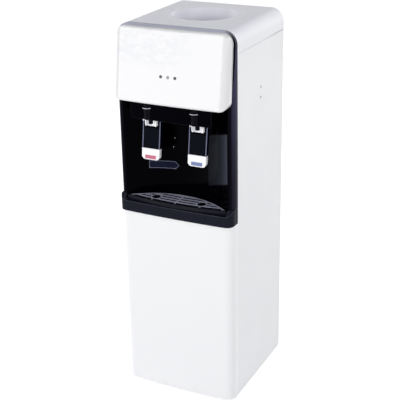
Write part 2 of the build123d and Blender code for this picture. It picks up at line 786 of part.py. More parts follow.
def spoutCup(x):
    """D-shaped splash guard round the nozzle, open towards the user."""
    rear = -spoutFront + spoutDepth
    low = hoodZ - spoutHeight
    outer = cupFace(spoutHalf, rear)
    inner = cupFace(spoutHalf - spoutWall, rear - spoutWall)
    cup = plate(outer, low, hoodZ + hoodWall) - plate(inner, low - 1, hoodZ - spoutWall)
    cup = cup & frontward(flipped(spoutHalf, low, hoodZ + hoodWall, spoutCorner), 0, -2 * spoutFront)
    cup -= block(-spoutHalf - 1, spoutHalf + 1, -spoutFront - 1, -spoutFront + 10, low - 1, hoodZ - 6)
    cup -= post(0, -inletReach, hoodZ - 10, hoodZ + 10, nozzleRadius)
    cup -= post(0, -hoodReach + columnRadius - columnLead, hoodZ - 10, hoodZ + 10,
                columnRadius + fitGap)
    return Pos(x, 0, 0) * cup


def cupFace(halfWidth, rear):
    """Plan of the guard: straight front, rounded rear corners."""
    face = Pos(0, (rear - spoutFront) / 2) * Rectangle(2 * halfWidth, spoutFront + rear)
    return fillet(face.vertices().group_by(Axis.Y)[-1], 8)


def paddle(x):
    """Lever: leaning frame whose two arms pass the spout and meet above the pivot."""
    low = tipZ + tipHeight
    top = hoodZ - paddleTop
    rear = -paddleTopReach + paddleDepth
    outline = [
        (paddleFront(low), low), (paddleFront(top), top), (-pivotReach - 6, hoodZ + 2),
        (-pivotReach - 5, lugTop), (-pivotReach + 2.5, lugTop), (-pivotReach + 6, hoodZ + 2),
        (rear, top), (paddleFront(low) + 10, low)]
    body = sideward(outline, -paddleHalf, paddleHalf)
    gap = paddleHalf - paddleRail
    body -= slab(low - 1, padTopZ, -5, padInset, gap)
    body -= slab(low - 1, padTopZ, padInset + paddlePlate, 30, gap)
    window = [(-200, padTopZ), (-200, lugBase), (-50, lugBase), (-50, padTopZ)]
    body -= sideward(window, -gap, gap)
    lugCut = [(-200, lugBase - 1), (-200, lugTop + 1), (-pivotReach - 1.5, lugTop + 1),
              (-pivotReach - 1.5, lugBase - 1)]
    body -= sideward(lugCut, -gap, gap)
    body -= crossRod(-pivotReach, pivotZ, -paddleHalf - 1, paddleHalf + 1, pinRadius + pinClearance)
    body += slab(tipZ + 8, low + 5, padInset, padInset + paddlePlate, tongueHalf)
    return Pos(x, 0, 0) * body


def paddleTip(x):
    """White push pad on the lower end of the lever."""
    body = slab(tipZ - 1, tipZ + tipHeight, 0, 10, paddleHalf)
    body = body & frontward(flipped(paddleHalf, tipZ, tipZ + tipHeight, tipCorner), -50, -200)
    body -= slab(tipZ + 8, tipZ + tipHeight + 1, padInset, padInset + paddlePlate, tongueHalf)
    return Pos(x, 0, 0) * body


def paddleMark(x):
    """Coloured bar on the push pad."""
    low = tipZ + markRise
    return Pos(x, 0, 0) * slab(low, low + markHeight, -markThickness, 0, markWidth / 2)


def paddlePin(x):
    """Steel pivot pin, held in the hood's two cheeks."""
    reach = paddleHalf + swingRoom + hoodWall
    return crossRod(-pivotReach, pivotZ, x - reach, x + reach, pinRadius)


def valveStem(x):
    """Round-ended valve stem pressed by the lever's upper bridge."""
    z = pivotZ + stemArm
    tip = -pivotReach - 1.5
    stem = deepRod(x, z, -inletReach + stemRoom, tip - stemRadius, stemRadius)
    return stem + Pos(x, tip - stemRadius, z) * Sphere(stemRadius)


def indicatorLenses():
    """Three small round lenses in the fascia."""
    front = fasciaFrontY(lampZ) - lampProud
    return Compound(children=[deepRod(x, lampZ, front, boardY, lampRadius) for x in lampX])


def fasciaFrontY(z):
    """Depth of the fascia's front face at height z, in the middle."""
    return -fasciaReach + fasciaLean * (z - nicheCeiling) / (fasciaTop - nicheCeiling)


def indicatorBoard():
    """Small circuit board that carries the lamps."""
    return block(-boardHalf, boardHalf, boardY, boardY + 1.6, lampZ - boardRise, lampZ + boardRise)


def arrowPlate():
    """Thin curved plate on the niche wall, shaped as an arrow pointing right."""
    neck = arrowTip - arrowHalf
    outline = make_face(Polyline((arrowTail, arrowZ - arrowHalf), (neck, arrowZ - arrowHalf),
                                 (arrowTip, arrowZ), (neck, arrowZ + arrowHalf),
                                 (arrowTail, arrowZ + arrowHalf), close=True))
    sweepZone = frontward(outline, -60, -160)
    outer = nicheRadius - arrowSeat
    ring = Pos(0, nicheCentreY, arrowZ) * Cylinder(outer, 4 * arrowHalf)
    ring -= Pos(0, nicheCentreY, arrowZ) * Cylinder(outer - arrowThickness, 5 * arrowHalf)
    return sweepZone & ring


# ---------------------------------------------------------------- screws

def screwShape(length):
    """Countersunk outline along -Z, its flat head on the origin plane."""
    shank = Pos(0, 0, -length / 2) * Cylinder(screwRadius, length)
    return shank + Pos(0, 0, -sheet / 2) * Cone(screwRadius, screwHead, sheet)


def screw():
    """Countersunk screw with a cross recess."""
    body = screwShape(screwLength)
    for turn in (0, 90):
        body -= Rot(0, 0, turn) * Box(screwHead * 1.2, 0.8, 1.0)
    return body


def sideScrewPlaces():
    """Where the screws stand in the side panels, heads outwards."""
    places = []
    for z in sideScrewZ:
        for side in (-1, 1):
            places.append(Pos(side * half, sideScrewY, z) * Rot(0, side * 90, 0))
    return places


def nicheScrewPlaces():
    """Where the screws stand in the niche's curved wall, heads forwards."""
    places = []
    for x, rise in nicheScrews:
        turn = -math.degrees(math.asin(x / nicheRadius))
        seat = Pos(0, nicheCentreY, nicheFloor + rise) * Rot(0, 0, turn) * Pos(0, nicheRadius - screwProud, 0)
        places.append(seat * Rot(90, 0, 0) * Rot(0, 0, nicheScrewTurn))
    return places


def rearScrewPlaces():
    """Where the screws stand in both rear flanges, heads rearwards."""
    places = []
    for x in (-rearScrewX, rearScrewX):
        for z in rearScrewZ:
            places.append(Pos(x, rearReach, z) * Rot(-90, 0, 0))
    return places


def panelScrews():
    """Identical screws: shelf ears, niche wall and both rear flanges."""
    places = sideScrewPlaces() + nicheScrewPlaces() + rearScrewPlaces()
    return Compound(children=[place * screw() for place in places])


# ---------------------------------------------------------------- water circuit

def hose(points, bend):
    """Hollow hose along straight runs joined by arcs."""
    path = FilletPolyline(*points, radius=bend)
    start = Plane(origin=path @ 0, z_dir=path % 0)
    return sweep(start * (Circle(hoseRadius) - Circle(barbRadius)), path=path)


def coldTank():
    """Open stainless tank with two barbs under its floor."""
    tank = post(0, wellCentre, tankFloor, lidZ, tankRadius)
    tank -= post(0, wellCentre, tankFloor + tankWall, lidZ + 1, tankRadius - tankWall)
    for x, y in (coldOutlet, hotOutlet):
        tank += post(x, y, tankFloor - barbDrop, tankFloor + tankWall / 2, barbRadius)
        tank -= post(x, y, tankFloor - barbDrop - 1, tankFloor + tankWall + 1, barbBore)
    return tank


def tankLid():
    """Lid with a central opening under the bottle well."""
    lid = post(0, wellCentre, lidZ, lidTopZ, foamCavity)
    lid += post(0, wellCentre, lidZ - 8, lidZ + 1, tankRadius - tankWall - 0.5)
    return lid - post(0, wellCentre, lidZ - 9, lidTopZ + 1, wellThroat)


def baffle():
    """Disc that keeps fresh water off the chilled water, on a tube over the hot outlet."""
    x, y = hotOutlet
    disc = post(0, wellCentre, baffleZ, baffleZ + 2.5, tankRadius - tankWall - 1.5)
    disc -= post(0, wellCentre, baffleZ - 1, baffleZ + 4, 6)
    disc += post(x, y, tankFloor + tankWall, baffleZ + 1, barbRadius + 3)
    return disc - post(x, y, tankFloor, baffleZ + 4, barbRadius + 1.5)


def evaporatorCoil():
    """Copper coil wound round the cold tank."""
    path = Helix(pitch=coilPitch, height=coilPitch * coilTurns, radius=coilRadius)
    start = Plane(origin=path @ 0, z_dir=path % 0)
    coil = sweep(start * Circle(coilTube), path=path, is_frenet=True)
    return Pos(0, wellCentre, coilFloor) * Rot(0, 0, 180) * coil


def foamHalfShell(side):
    """One half of the insulation round the cold tank; side -1 is the front, +1 the rear."""
    box = Pos(0, (foamFront + foamRear) / 2) * RectangleRounded(2 * foamHalf, foamRear - foamFront, 20)
    shell = plate(box, foamBottom, lidZ)
    shell -= post(0, wellCentre, tankFloor, lidZ + 1, foamCavity)
    for x, y in (coldOutlet, hotOutlet):
        shell -= post(x, y, foamBottom - 1, tankFloor + 1, barbRadius)
    for x, z, radius in ((-coilRadius, coilFloor, capillaryRadius), (coilRadius, coilTopZ, coilTube)):
        shell -= deepRod(x, z, wellCentre, foamRear + 1, radius + fitGap)
    zone = block(-half, half, wellCentre, wellCentre + side * 2 * foamHalf, foamBottom - 1, lidZ + 1)
    return shell & zone


def tankShelf():
    """Steel shelf under the insulation, with ears screwed to the side panels."""
    low = foamBottom - shelfSheet
    shelf = block(-innerHalf, innerHalf, foamFront, foamRear, low, foamBottom)
    for side in (-1, 1):
        inner = side * (innerHalf - shelfSheet)
        shelf += block(inner, side * innerHalf, sideScrewY - 12, sideScrewY + 12, low,
                       sideScrewZ[0] + 12)
        shelf -= block(side * (riseX - 12), side * (riseX + 12), riseY - 12, riseY + 12, low - 1,
                       foamBottom + 1)
    for x, y in (coldOutlet, hotOutlet):
        shelf -= post(x, y, low - 1, foamBottom + 1, hoseRadius + 2)
    for place in sideScrewPlaces():
        shelf -= place * screwShape(screwLength)
    return shelf


def hotTank():
    """Closed stainless tank with two barbs on top and a drain barb below."""
    high = hotFloor + hotHeight
    tank = post(0, hotCentre, hotFloor, high, hotRadius)
    tank -= post(0, hotCentre, hotFloor + tankWall, high - tankWall, hotRadius - tankWall)
    for x, y in (hotRise, hotOutlet):
        tank += post(x, y, high - tankWall / 2, high + hotBarb, barbRadius)
        tank -= post(x, y, high - tankWall - 1, high + hotBarb + 1, barbBore)
    x, y = drainX, hotCentre
    tank += post(x, y, hotFloor - hotBarb, hotFloor + tankWall / 2, barbRadius)
    return tank - post(x, y, hotFloor - hotBarb - 1, hotFloor + tankWall + 1, barbBore)


def hotHeater():
    """Bent heating rod standing on the hot tank's floor."""
    low = hotFloor + tankWall
    y = hotCentre - 22
    return tube([(-22, y, low), (-22, y, low + 80), (22, y, low + 80), (22, y, low)], 14, 3.5)


def jacketHalf(side):
    """One half of the hot tank's insulation; side -1 is the front, +1 the rear."""
    low = hotFloor - jacketFloor
    high = hotFloor + hotHeight + jacketFloor
    shell = post(0, hotCentre, low, high, hotRadius + jacketWall)
    shell -= post(0, hotCentre, hotFloor, hotFloor + hotHeight, hotRadius)
    for x, y in (hotRise, hotOutlet):
        shell -= post(x, y, high - jacketFloor - 1, high + 1, barbRadius)
    shell -= post(drainX, hotCentre, low - 1, hotFloor + 1, barbRadius)
    zone = block(-half, half, hotCentre, hotCentre + side * 2 * half, low - 1, high + 1)
    return shell & zone


def hotTankBracket():
    """Steel tray across the cabinet that carries the hot tank."""
    high = hotFloor - jacketFloor
    reach = hotRadius + jacketWall
    deck = block(-innerHalf, innerHalf, hotCentre - reach, hotCentre + reach, high - shelfSheet, high)
    for side in (-1, 1):
        inner = side * (innerHalf - shelfSheet)
        deck += block(inner, side * innerHalf, hotCentre - reach, hotCentre + reach, high - 22, high)
    return deck - post(drainX, hotCentre, high - 5, high + 1, hoseRadius + 2)


def coldHose():
    """Silicone hose from the cold tank's floor to the right-hand tap."""
    x, y = coldOutlet
    low = foamBottom - 30
    return hose([(x, y, foamBottom - 2), (x, y, low), (riseX, y, low), (riseX, riseY, low),
                 (riseX, riseY, feedZ), (riseX, crossY, feedZ), (tapX, crossY, feedZ),
                 (tapX, -inletReach, feedZ),
                 (tapX, -inletReach, nicheCeiling + 4)], 11)


def hotHose():
    """Silicone hose from the hot tank's top to the left-hand tap."""
    x, y = hotRise
    base = hotFloor + hotHeight + jacketFloor + 2
    return hose([(x, y, base), (x, y, base + 45), (-riseX, y, base + 45), (-riseX, riseY, base + 45),
                 (-riseX, riseY, feedZ), (-riseX, crossY, feedZ), (-tapX, crossY, feedZ),
                 (-tapX, -inletReach, feedZ),
                 (-tapX, -inletReach, nicheCeiling + 4)], 11)


def fillHose():
    """Short straight hose that fills the hot tank from the cold tank."""
    x, y = hotOutlet
    low = hotFloor + hotHeight + jacketFloor + 2
    high = foamBottom - 2
    return post(x, y, low, high, hoseRadius) - post(x, y, low - 1, high + 1, barbRadius)


def drainHose():
    """Hose from the hot tank's floor to the rear drain."""
    top = hotFloor - jacketFloor - 4
    return hose([(drainX, hotCentre, top), (drainX, hotCentre, portZ),
                 (drainX, rearReach - 22, portZ)], 14)


def drainOutlet():
    """Drain spigot through the back panel."""
    rear = rearReach - sheet
    outlet = deepRod(drainX, portZ, rear, rear + 3, drainRadius + 4)
    outlet += deepRod(drainX, portZ, rear - sheet - 3, rear + 14, drainRadius)
    outlet += deepRod(drainX, portZ, rearReach - spigotReach, rear, barbRadius)
    return outlet - deepRod(drainX, portZ, rearReach - spigotReach - 1, rear + 15, barbBore)


def drainCap():
    """Ribbed pull-off cap on the drain."""
    rear = rearReach - sheet
    cap = deepRod(drainX, portZ, rear + 3.2, rear + 17, capRadius)
    cap -= deepRod(drainX, portZ, rear + 2, rear + 14.2, drainRadius + pinClearance)
    for index in range(12):
        turn = math.radians(30 * index)
        cap -= deepRod(drainX + capRadius * math.cos(turn), portZ + capRadius * math.sin(turn),
                       rear + 2, rear + 13, 1.0)
    return cap


# ---------------------------------------------------------------- cooling circuit

def compressor():
    """Welded compressor shell on its foot plate."""
    low = panelBase + baseSheet + grommetHeight
    plateTop = low + 3
    y = compressorCentre
    shell = post(0, y, plateTop, plateTop + compressorHeight, compressorRadius)
    shell = fillet(shell.edges().group_by(Axis.Z)[-1], 34)
    shell = fillet(shell.edges().group_by(Axis.Z)[0], 16)
    shell += post(0, y, compressorSeam, compressorSeam + seamHeight, compressorRadius + seamLip)
    plan = Pos(0, y) * RectangleRounded(2 * mountSpan + 26, 2 * mountRun + 26, 12)
    deck = plate(plan, low, plateTop)
    for mx, my in mountPlaces:
        deck -= post(mx, my, low - 1, plateTop + 1, studRadius + 1)
    return shell + deck


def compressorGrommets():
    """Rubber feet between the floor plate and the compressor."""
    rings = []
    low = panelBase + baseSheet
    for x, y in mountPlaces:
        ring = post(x, y, low, low + grommetHeight, 10)
        ring -= post(x, y, low + 5, low + 9, 12) - post(x, y, low + 4, low + 10, 7.5)
        rings.append(ring - post(x, y, low - 1, low + grommetHeight + 1, studRadius))
    return Compound(children=rings)


def startRelay():
    """Relay and overload box on the side of the compressor."""
    low = panelBase + 70
    box = block(-compressorRadius - 26, -compressorRadius + 12, compressorCentre - 24,
                compressorCentre + 24, low, low + relayHeight)
    box -= post(0, compressorCentre, low - 1, low + relayHeight + 1, compressorRadius)
    return box - post(0, compressorCentre, compressorSeam - 0.5, compressorSeam + seamHeight + 0.5,
                      compressorRadius + seamLip + 0.3)


def condenserCoil():
    """Serpentine condenser with its riser from the compressor."""
    y = condenserY
    z = condenserBottom + condenserPitch * (condenserRuns - 1)
    points = [(compressorRadius, compressorCentre, dischargeZ), (riserX, compressorCentre, dischargeZ),
              (riserX, y, dischargeZ), (riserX, y, z)]
    bends = [14, 14, 14]
    side = -1
    for index in range(condenserRuns - 1):
        points.append((side * (condenserHalf + condenserPitch / 2), y, z))
        z -= condenserPitch
        points.append((side * (condenserHalf + condenserPitch / 2), y, z))
        bends += [condenserBend, condenserBend]
        side = -side
    points += [(drierX, y, z), (drierX, y, drierTop + 22), (drierX, drierY, drierTop + 22),
               (drierX, drierY, drierTop)]
    bends += [10, 10, 10]
    return bentTube(points, bends, condenserTube)


def bentTube(points, bends, radius):
    """Round bar along straight runs, each corner with its own bend radius."""
    corners = [Vector(*p) for p in points]
    edges = []
    at = corners[0]
    for before, corner, after, bend in zip(corners, corners[1:], corners[2:], bends):
        inward = (before - corner).normalized()
        outward = (after - corner).normalized()
        angle = math.radians(inward.get_angle(outward))
        setback = bend / math.tan(angle / 2)
        start = corner + inward * setback
        end = corner + outward * setback
        middle = (inward + outward).normalized()
        apex = corner + middle * (bend / math.sin(angle / 2) - bend)
        edges.append(Line(at, start))
        edges.append(ThreePointArc(start, apex, end))
        at = end
    edges.append(Line(at, corners[-1]))
    path = Wire(edges)
    start = Plane(origin=path @ 0, z_dir=path % 0)
    return sweep(start * Circle(radius), path=path)


def condenserWires():
    """Upright wires welded to both faces of the serpentine."""
    low = condenserBottom - 12
    high = condenserBottom + condenserPitch * (condenserRuns - 1) + 12
    reach = condenserTube + condenserWire
    wires = []
    for index in range(wireCount):
        x = -wireHalf + 2 * wireHalf * index / (wireCount - 1)
        for y in (condenserY - reach, condenserY + reach):
            wires.append(post(x, y, low, high, condenserWire))
    return Compound(children=wires)


def condenserBrackets():
    """Four blocks that stand the condenser off the back panel."""
    rear = rearReach - sheet
    blocks = []
    for index in (1, condenserRuns - 2):
        z = condenserBottom + condenserPitch * index
        for x in (-bracketX, bracketX):
            piece = block(x - 3, x + 3, rear, condenserReach, z - 6, z + 6)
            piece += block(x - 3, x + 3, rear, rear + 2, z - 14, z + 14)
            blocks.append(piece - crossRod(condenserY, z, x - 4, x + 4, condenserTube))
    return Compound(children=blocks)


def filterDrier():
    """Copper filter drier between condenser and capillary."""
    low = drierTop - drierLength
    body = post(drierX, drierY, low + 12, drierTop - 12, 10)
    body += Pos(drierX, drierY, drierTop - 6) * Cone(10, condenserTube, 12)
    body += Pos(drierX, drierY, low + 6) * Cone(condenserTube, 10, 12)
    return body


def capillary():
    """Thin tube from the drier to the lower end of the evaporator."""
    low = drierTop - drierLength
    return bentTube([(drierX, drierY, low), (drierX, drierY, low - 26), (drierX, pipeY, low - 26),
                     (-coilRadius, pipeY, low - 26), (-coilRadius, pipeY, coilFloor),
                     (-coilRadius, wellCentre + 0.15, coilFloor)], [8, 8, 8, 6, 6], capillaryRadius)


def suctionPipe():
    """Pipe from the upper end of the evaporator back to the compressor."""
    shellY = compressorCentre + compressorRadius
    return bentTube([(coilRadius, wellCentre + 0.15, coilTopZ), (coilRadius, pipeY, coilTopZ),
                     (coilRadius, pipeY, suctionZ), (0, pipeY, suctionZ), (0, shellY, suctionZ)],
                    [6.5, 9, 12, 12], coilTube)


def refrigerantPipes():
    """Capillary and suction pipe, two separate tubes."""
    return Compound(children=[capillary(), suctionPipe()])


# ---------------------------------------------------------------- rear fittings

def switchBezel():
    """Black double switch housing in the back panel."""
    rear = rearReach - sheet
    lip = block(switchX - bezelHalf, switchX + bezelHalf, rear, rear + 2.2, switchZ - bezelRise,
                switchZ + bezelRise)
    core = block(switchX - bezelHalf + bezelLip, switchX + bezelHalf - bezelLip, rear - bezelDepth,
                 rear + 1, switchZ - bezelRise + bezelLip, switchZ + bezelRise - bezelLip)
    body = lip + core
    for side in (-1, 1):
        x = switchX + side * rockerPitch / 2
        body -= block(x - rockerHalf - 0.6, x + rockerHalf + 0.6, rear - 12, rear + 5,
                      switchZ - rockerRise - 1.4, switchZ + rockerRise + 1.4)
        body -= crossRod(rockerY, switchZ, x - rockerHalf - 1.5, x + rockerHalf + 1.5,
                         1.5 + pinClearance)
    return body


def rocker(side):
    """Rocker tipped to its off side; the two halves of its face meet in a shallow V."""
    x = switchX + side * rockerPitch / 2
    rise = rockerRise
    face = make_face(Polyline((-4, -3.5), (-4, 3.5), (0.5, rise), (6.5, rise), (5.0, 0), (6.5, -rise),
                              (0.5, -rise), close=True))
    body = extrude(Plane.YZ.offset(-rockerHalf) * face, amount=2 * rockerHalf)
    body += crossRod(0, 0, -rockerHalf - 1.3, rockerHalf + 1.3, 1.5)
    return Pos(x, rockerY, switchZ) * Rot(rockerTilt, 0, 0) * body


def powerInlet():
    """Cable gland in the back panel."""
    rear = rearReach - sheet
    gland = deepRod(inletX, portZ, rear, rear + 4, inletRadius + 4)
    gland += deepRod(inletX, portZ, rear - 9, rear + 12, inletRadius)
    return gland - deepRod(inletX, portZ, rear - 12, rear + 9, 4)


def both(makePiece):
    """The same piece at the hot tap and at the cold tap, as two separate solids."""
    return Compound(children=[makePiece(-tapX), makePiece(tapX)])


nodes = {
    "top_cover": topCover(),
    "bottle_well": bottleWell(),
    "water_guard_probe": waterGuard(),
    "well_gasket": wellGasket(),
    "right_side_panel": sidePanel(),
    "left_side_panel": mirrored(sidePanel()),
    "back_panel": backPanel(),
    "base_plate": basePlate(),
    "rubber_feet": feet(),
    "lower_front_panel": lowerFrontPanel(),
    "front_frame": frontFrame(),
    "niche_liner": nicheLiner(),
    "fascia": fascia(),
    "indicator_lenses": indicatorLenses(),
    "indicator_board": indicatorBoard(),
    "tap_hood": tapHood(),
    "tap_bodies": both(tapBody),
    "tap_collars": both(tapCollar),
    "spout_guards": both(spoutCup),
    "paddle_pins": both(paddlePin),
    "hot_paddle": paddle(-tapX),
    "cold_paddle": paddle(tapX),
    "hot_paddle_tip": paddleTip(-tapX),
    "cold_paddle_tip": paddleTip(tapX),
    "hot_mark": paddleMark(-tapX),
    "cold_mark": paddleMark(tapX),
    "hot_valve_stem": valveStem(-tapX),
    "cold_valve_stem": valveStem(tapX),
    "drip_tray": dripTray(),
    "drip_grille": dripGrille(),
    "arrow_plate": arrowPlate(),
    "panel_screws": panelScrews(),
    "cold_tank": coldTank(),
    "cold_tank_lid": tankLid(),
    "cold_tank_baffle": baffle(),
    "evaporator_coil": evaporatorCoil(),
    "cold_insulation": Compound(children=[foamHalfShell(-1), foamHalfShell(1)]),
    "tank_shelf": tankShelf(),
    "hot_tank": hotTank(),
    "hot_tank_heater": hotHeater(),
    "hot_insulation": Compound(children=[jacketHalf(-1), jacketHalf(1)]),
    "hot_tank_bracket": hotTankBracket(),
    "cold_water_hose": coldHose(),
    "hot_water_hose": hotHose(),
    "hot_fill_hose": fillHose(),
    "drain_hose": drainHose(),
    "drain_outlet": drainOutlet(),
    "drain_cap": drainCap(),
    "compressor": compressor(),
    "compressor_grommets": compressorGrommets(),
    "start_relay": startRelay(),
    "condenser_coil": condenserCoil(),
    "condenser_wires": condenserWires(),
    "condenser_brackets": condenserBrackets(),
    "filter_drier": filterDrier(),
    "refrigerant_pipes": refrigerantPipes(),
    "switch_housing": switchBezel(),
    "hot_switch_rocker": rocker(-1),
    "cold_switch_rocker": rocker(1),
    "power_inlet": powerInlet(),
}
for name, shape in nodes.items():
    export_step(shape, "parts/" + name + ".step")
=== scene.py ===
import json
import math

import bpy
import numpy as np
from mathutils import Matrix, Vector


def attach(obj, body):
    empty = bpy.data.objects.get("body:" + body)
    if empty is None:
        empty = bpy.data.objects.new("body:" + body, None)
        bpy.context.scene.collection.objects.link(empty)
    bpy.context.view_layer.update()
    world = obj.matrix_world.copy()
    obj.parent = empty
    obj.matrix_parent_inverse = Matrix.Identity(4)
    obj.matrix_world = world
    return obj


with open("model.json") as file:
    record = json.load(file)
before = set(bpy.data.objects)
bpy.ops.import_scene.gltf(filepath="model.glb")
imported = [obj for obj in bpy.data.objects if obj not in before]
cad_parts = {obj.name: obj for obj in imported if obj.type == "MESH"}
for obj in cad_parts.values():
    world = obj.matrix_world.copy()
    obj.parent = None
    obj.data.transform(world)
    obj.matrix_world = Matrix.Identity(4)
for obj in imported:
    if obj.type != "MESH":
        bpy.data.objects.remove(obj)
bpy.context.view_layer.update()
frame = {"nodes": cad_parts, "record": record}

print("stage: frame loaded,", len(frame["nodes"]), "nodes")


# a colour is written as it looks on the screen, 0 to 255, and becomes linear light
def tone(red, green, blue):
    screen = np.array([red, green, blue]) / 255.0
    linear = np.where(screen <= 0.04045, screen / 12.92, ((screen + 0.055) / 1.055) ** 2.4)
    return (float(linear[0]), float(linear[1]), float(linear[2]), 1.0)


# a plain value is typed into the socket, and another node's output is linked to it
def feed(tree, socket, value):
    if isinstance(value, (int, float, tuple)):
        socket.default_value = value
    else:
        tree.links.new(value, socket)


def mathNode(tree, operation, first, second=None, clamp=False):
    node = tree.nodes.new("ShaderNodeMath")
    node.operation = operation
    node.use_clamp = clamp
    for socket, value in zip(node.inputs, (first, second)):
        if value is not None:
            feed(tree, socket, value)
    return node.outputs[0]


def noiseNode(tree, vector, scale, detail, roughness):
    node = tree.nodes.new("ShaderNodeTexNoise")
    node.inputs["Detail"].default_value = detail
    node.inputs["Roughness"].default_value = roughness
    feed(tree, node.inputs["Scale"], scale)
    tree.links.new(vector, node.inputs["Vector"])
    return node.outputs["Fac"]


def rangeNode(tree, value, low, high, fromLow=0.0, fromHigh=1.0):
    node = tree.nodes.new("ShaderNodeMapRange")
    node.inputs["From Min"].default_value = fromLow
    node.inputs["From Max"].default_value = fromHigh
    node.inputs["To Min"].default_value = low
    node.inputs["To Max"].default_value = high
    tree.links.new(value, node.inputs["Value"])
    return node.outputs[0]


def blendColour(tree, factor, first, second):
    node = tree.nodes.new("ShaderNodeMix")
    node.data_type = "RGBA"
    sockets = (node.inputs[0], node.inputs[6], node.inputs[7])
    for socket, value in zip(sockets, (factor, first, second)):
        feed(tree, socket, value)
    return node.outputs[2]


def bumpNode(tree, height, distance, normal=None):
    node = tree.nodes.new("ShaderNodeBump")
    node.inputs["Strength"].default_value = 1.0
    node.inputs["Distance"].default_value = distance
    tree.links.new(height, node.inputs["Height"])
    if normal is not None:
        tree.links.new(normal, node.inputs["Normal"])
    return node.outputs[0]


def splitAxes(tree, vector):
    node = tree.nodes.new("ShaderNodeSeparateXYZ")
    tree.links.new(vector, node.inputs[0])
    return node.outputs


def trueNormal(tree):
    return tree.nodes.new("ShaderNodeNewGeometry").outputs["Normal"]


# effects that several finishes share: each group gives only masks, heights or a normal
def newGroup(name, inputs, outputs):
    group = bpy.data.node_groups.new(name, "ShaderNodeTree")
    for label, kind, value in inputs:
        socket = group.interface.new_socket(name=label, in_out="INPUT", socket_type=kind)
        if value is not None:
            socket.default_value = value
    for label, kind in outputs:
        group.interface.new_socket(name=label, in_out="OUTPUT", socket_type=kind)
    return group, group.nodes.new("NodeGroupInput"), group.nodes.new("NodeGroupOutput")


def makeSkinGroup():
    # fine grain height plus a slow cloud, both 0 to 1, from two noises of different size
    group, source, target = newGroup(
        "mouldedSkin",
        [("Position", "NodeSocketVector", None), ("Grain Scale", "NodeSocketFloat", 900.0),
         ("Cloud Scale", "NodeSocketFloat", 9.0)],
        [("Grain", "NodeSocketFloat"), ("Cloud", "NodeSocketFloat")])
    position = source.outputs["Position"]
    grain = noiseNode(group, position, source.outputs["Grain Scale"], detail=1.0, roughness=0.4)
    cloud = noiseNode(group, position, source.outputs["Cloud Scale"], detail=3.0, roughness=0.5)
    group.links.new(grain, target.inputs["Grain"])
    group.links.new(cloud, target.inputs["Cloud"])
    return group


dustShape = dict(sharpness=3.0, patchScale=60.0, patchDetail=5.0, patchRoughness=0.7)


def makeDustGroup(values):
    # dust lies where the surface looks up: normal's z, sharpened, times a patchy noise
    group, source, target = newGroup(
        "settledDust",
        [("Position", "NodeSocketVector", None), ("Amount", "NodeSocketFloat", 0.2)],
        [("Mask", "NodeSocketFloat")])
    facing = splitAxes(group, trueNormal(group))
    up = mathNode(group, "POWER", mathNode(group, "MAXIMUM", facing["Z"], 0.0), values["sharpness"])
    patches = noiseNode(group, source.outputs["Position"], values["patchScale"],
                        values["patchDetail"], values["patchRoughness"])
    mask = mathNode(group, "MULTIPLY", up, patches)
    mask = mathNode(group, "MULTIPLY", mask, source.outputs["Amount"], clamp=True)
    group.links.new(mask, target.inputs["Mask"])
    return group


brushShape = dict(stretch=(1.0, 1.0, 0.03), detail=3.0, roughness=0.6)


def makeBrushGroup(values):
    # long fine streaks: noise stretched along one direction
    group, source, target = newGroup(
        "brushedLines",
        [("Position", "NodeSocketVector", None), ("Fineness", "NodeSocketFloat", 500.0)],
        [("Streak", "NodeSocketFloat")])
    stretch = group.nodes.new("ShaderNodeMapping")
    stretch.inputs["Scale"].default_value = values["stretch"]
    group.links.new(source.outputs["Position"], stretch.inputs["Vector"])
    streak = noiseNode(group, stretch.outputs[0], source.outputs["Fineness"], values["detail"],
                       values["roughness"])
    group.links.new(streak, target.inputs["Streak"])
    return group


edgeShape = dict(samples=4, turn=(0.80, 0.99))  # turn: cosines of the softened to the true normal


def makeEdgeGroup(values):
    # the normal softened over a small radius, and a mask that grows as it turns from the true one;
    # finishes use the mask to paint highlights on edges
    group, source, target = newGroup(
        "softEdge",
        [("Radius", "NodeSocketFloat", 0.001)],
        [("Normal", "NodeSocketVector"), ("Highlight", "NodeSocketFloat")])
    soft = group.nodes.new("ShaderNodeBevel")
    soft.samples = values["samples"]
    group.links.new(source.outputs["Radius"], soft.inputs["Radius"])
    turn = group.nodes.new("ShaderNodeVectorMath")
    turn.operation = "DOT_PRODUCT"
    group.links.new(soft.outputs[0], turn.inputs[0])
    group.links.new(trueNormal(group), turn.inputs[1])
    group.links.new(soft.outputs[0], target.inputs["Normal"])
    group.links.new(rangeNode(group, turn.outputs["Value"], 1.0, 0.0, *values["turn"]),
                    target.inputs["Highlight"])
    return group


skinGroup = makeSkinGroup()
dustGroup = makeDustGroup(dustShape)
brushGroup = makeBrushGroup(brushShape)
edgeGroup = makeEdgeGroup(edgeShape)


def useGroup(tree, group, **values):
    node = tree.nodes.new("ShaderNodeGroup")
    node.node_tree = group
    for label, value in values.items():
        feed(tree, node.inputs[label.replace("_", " ")], value)
    return node.outputs


# what all the finishes share
everyFinish = dict(cloudScale=11.0, coatRough=0.05, glowRadius=0.004, dustTone=(176, 172, 166),
                   dustRough=0.5, streakScale=700.0, streakRough=0.10, spangleMix=0.5,
                   spangleRough=0.06)
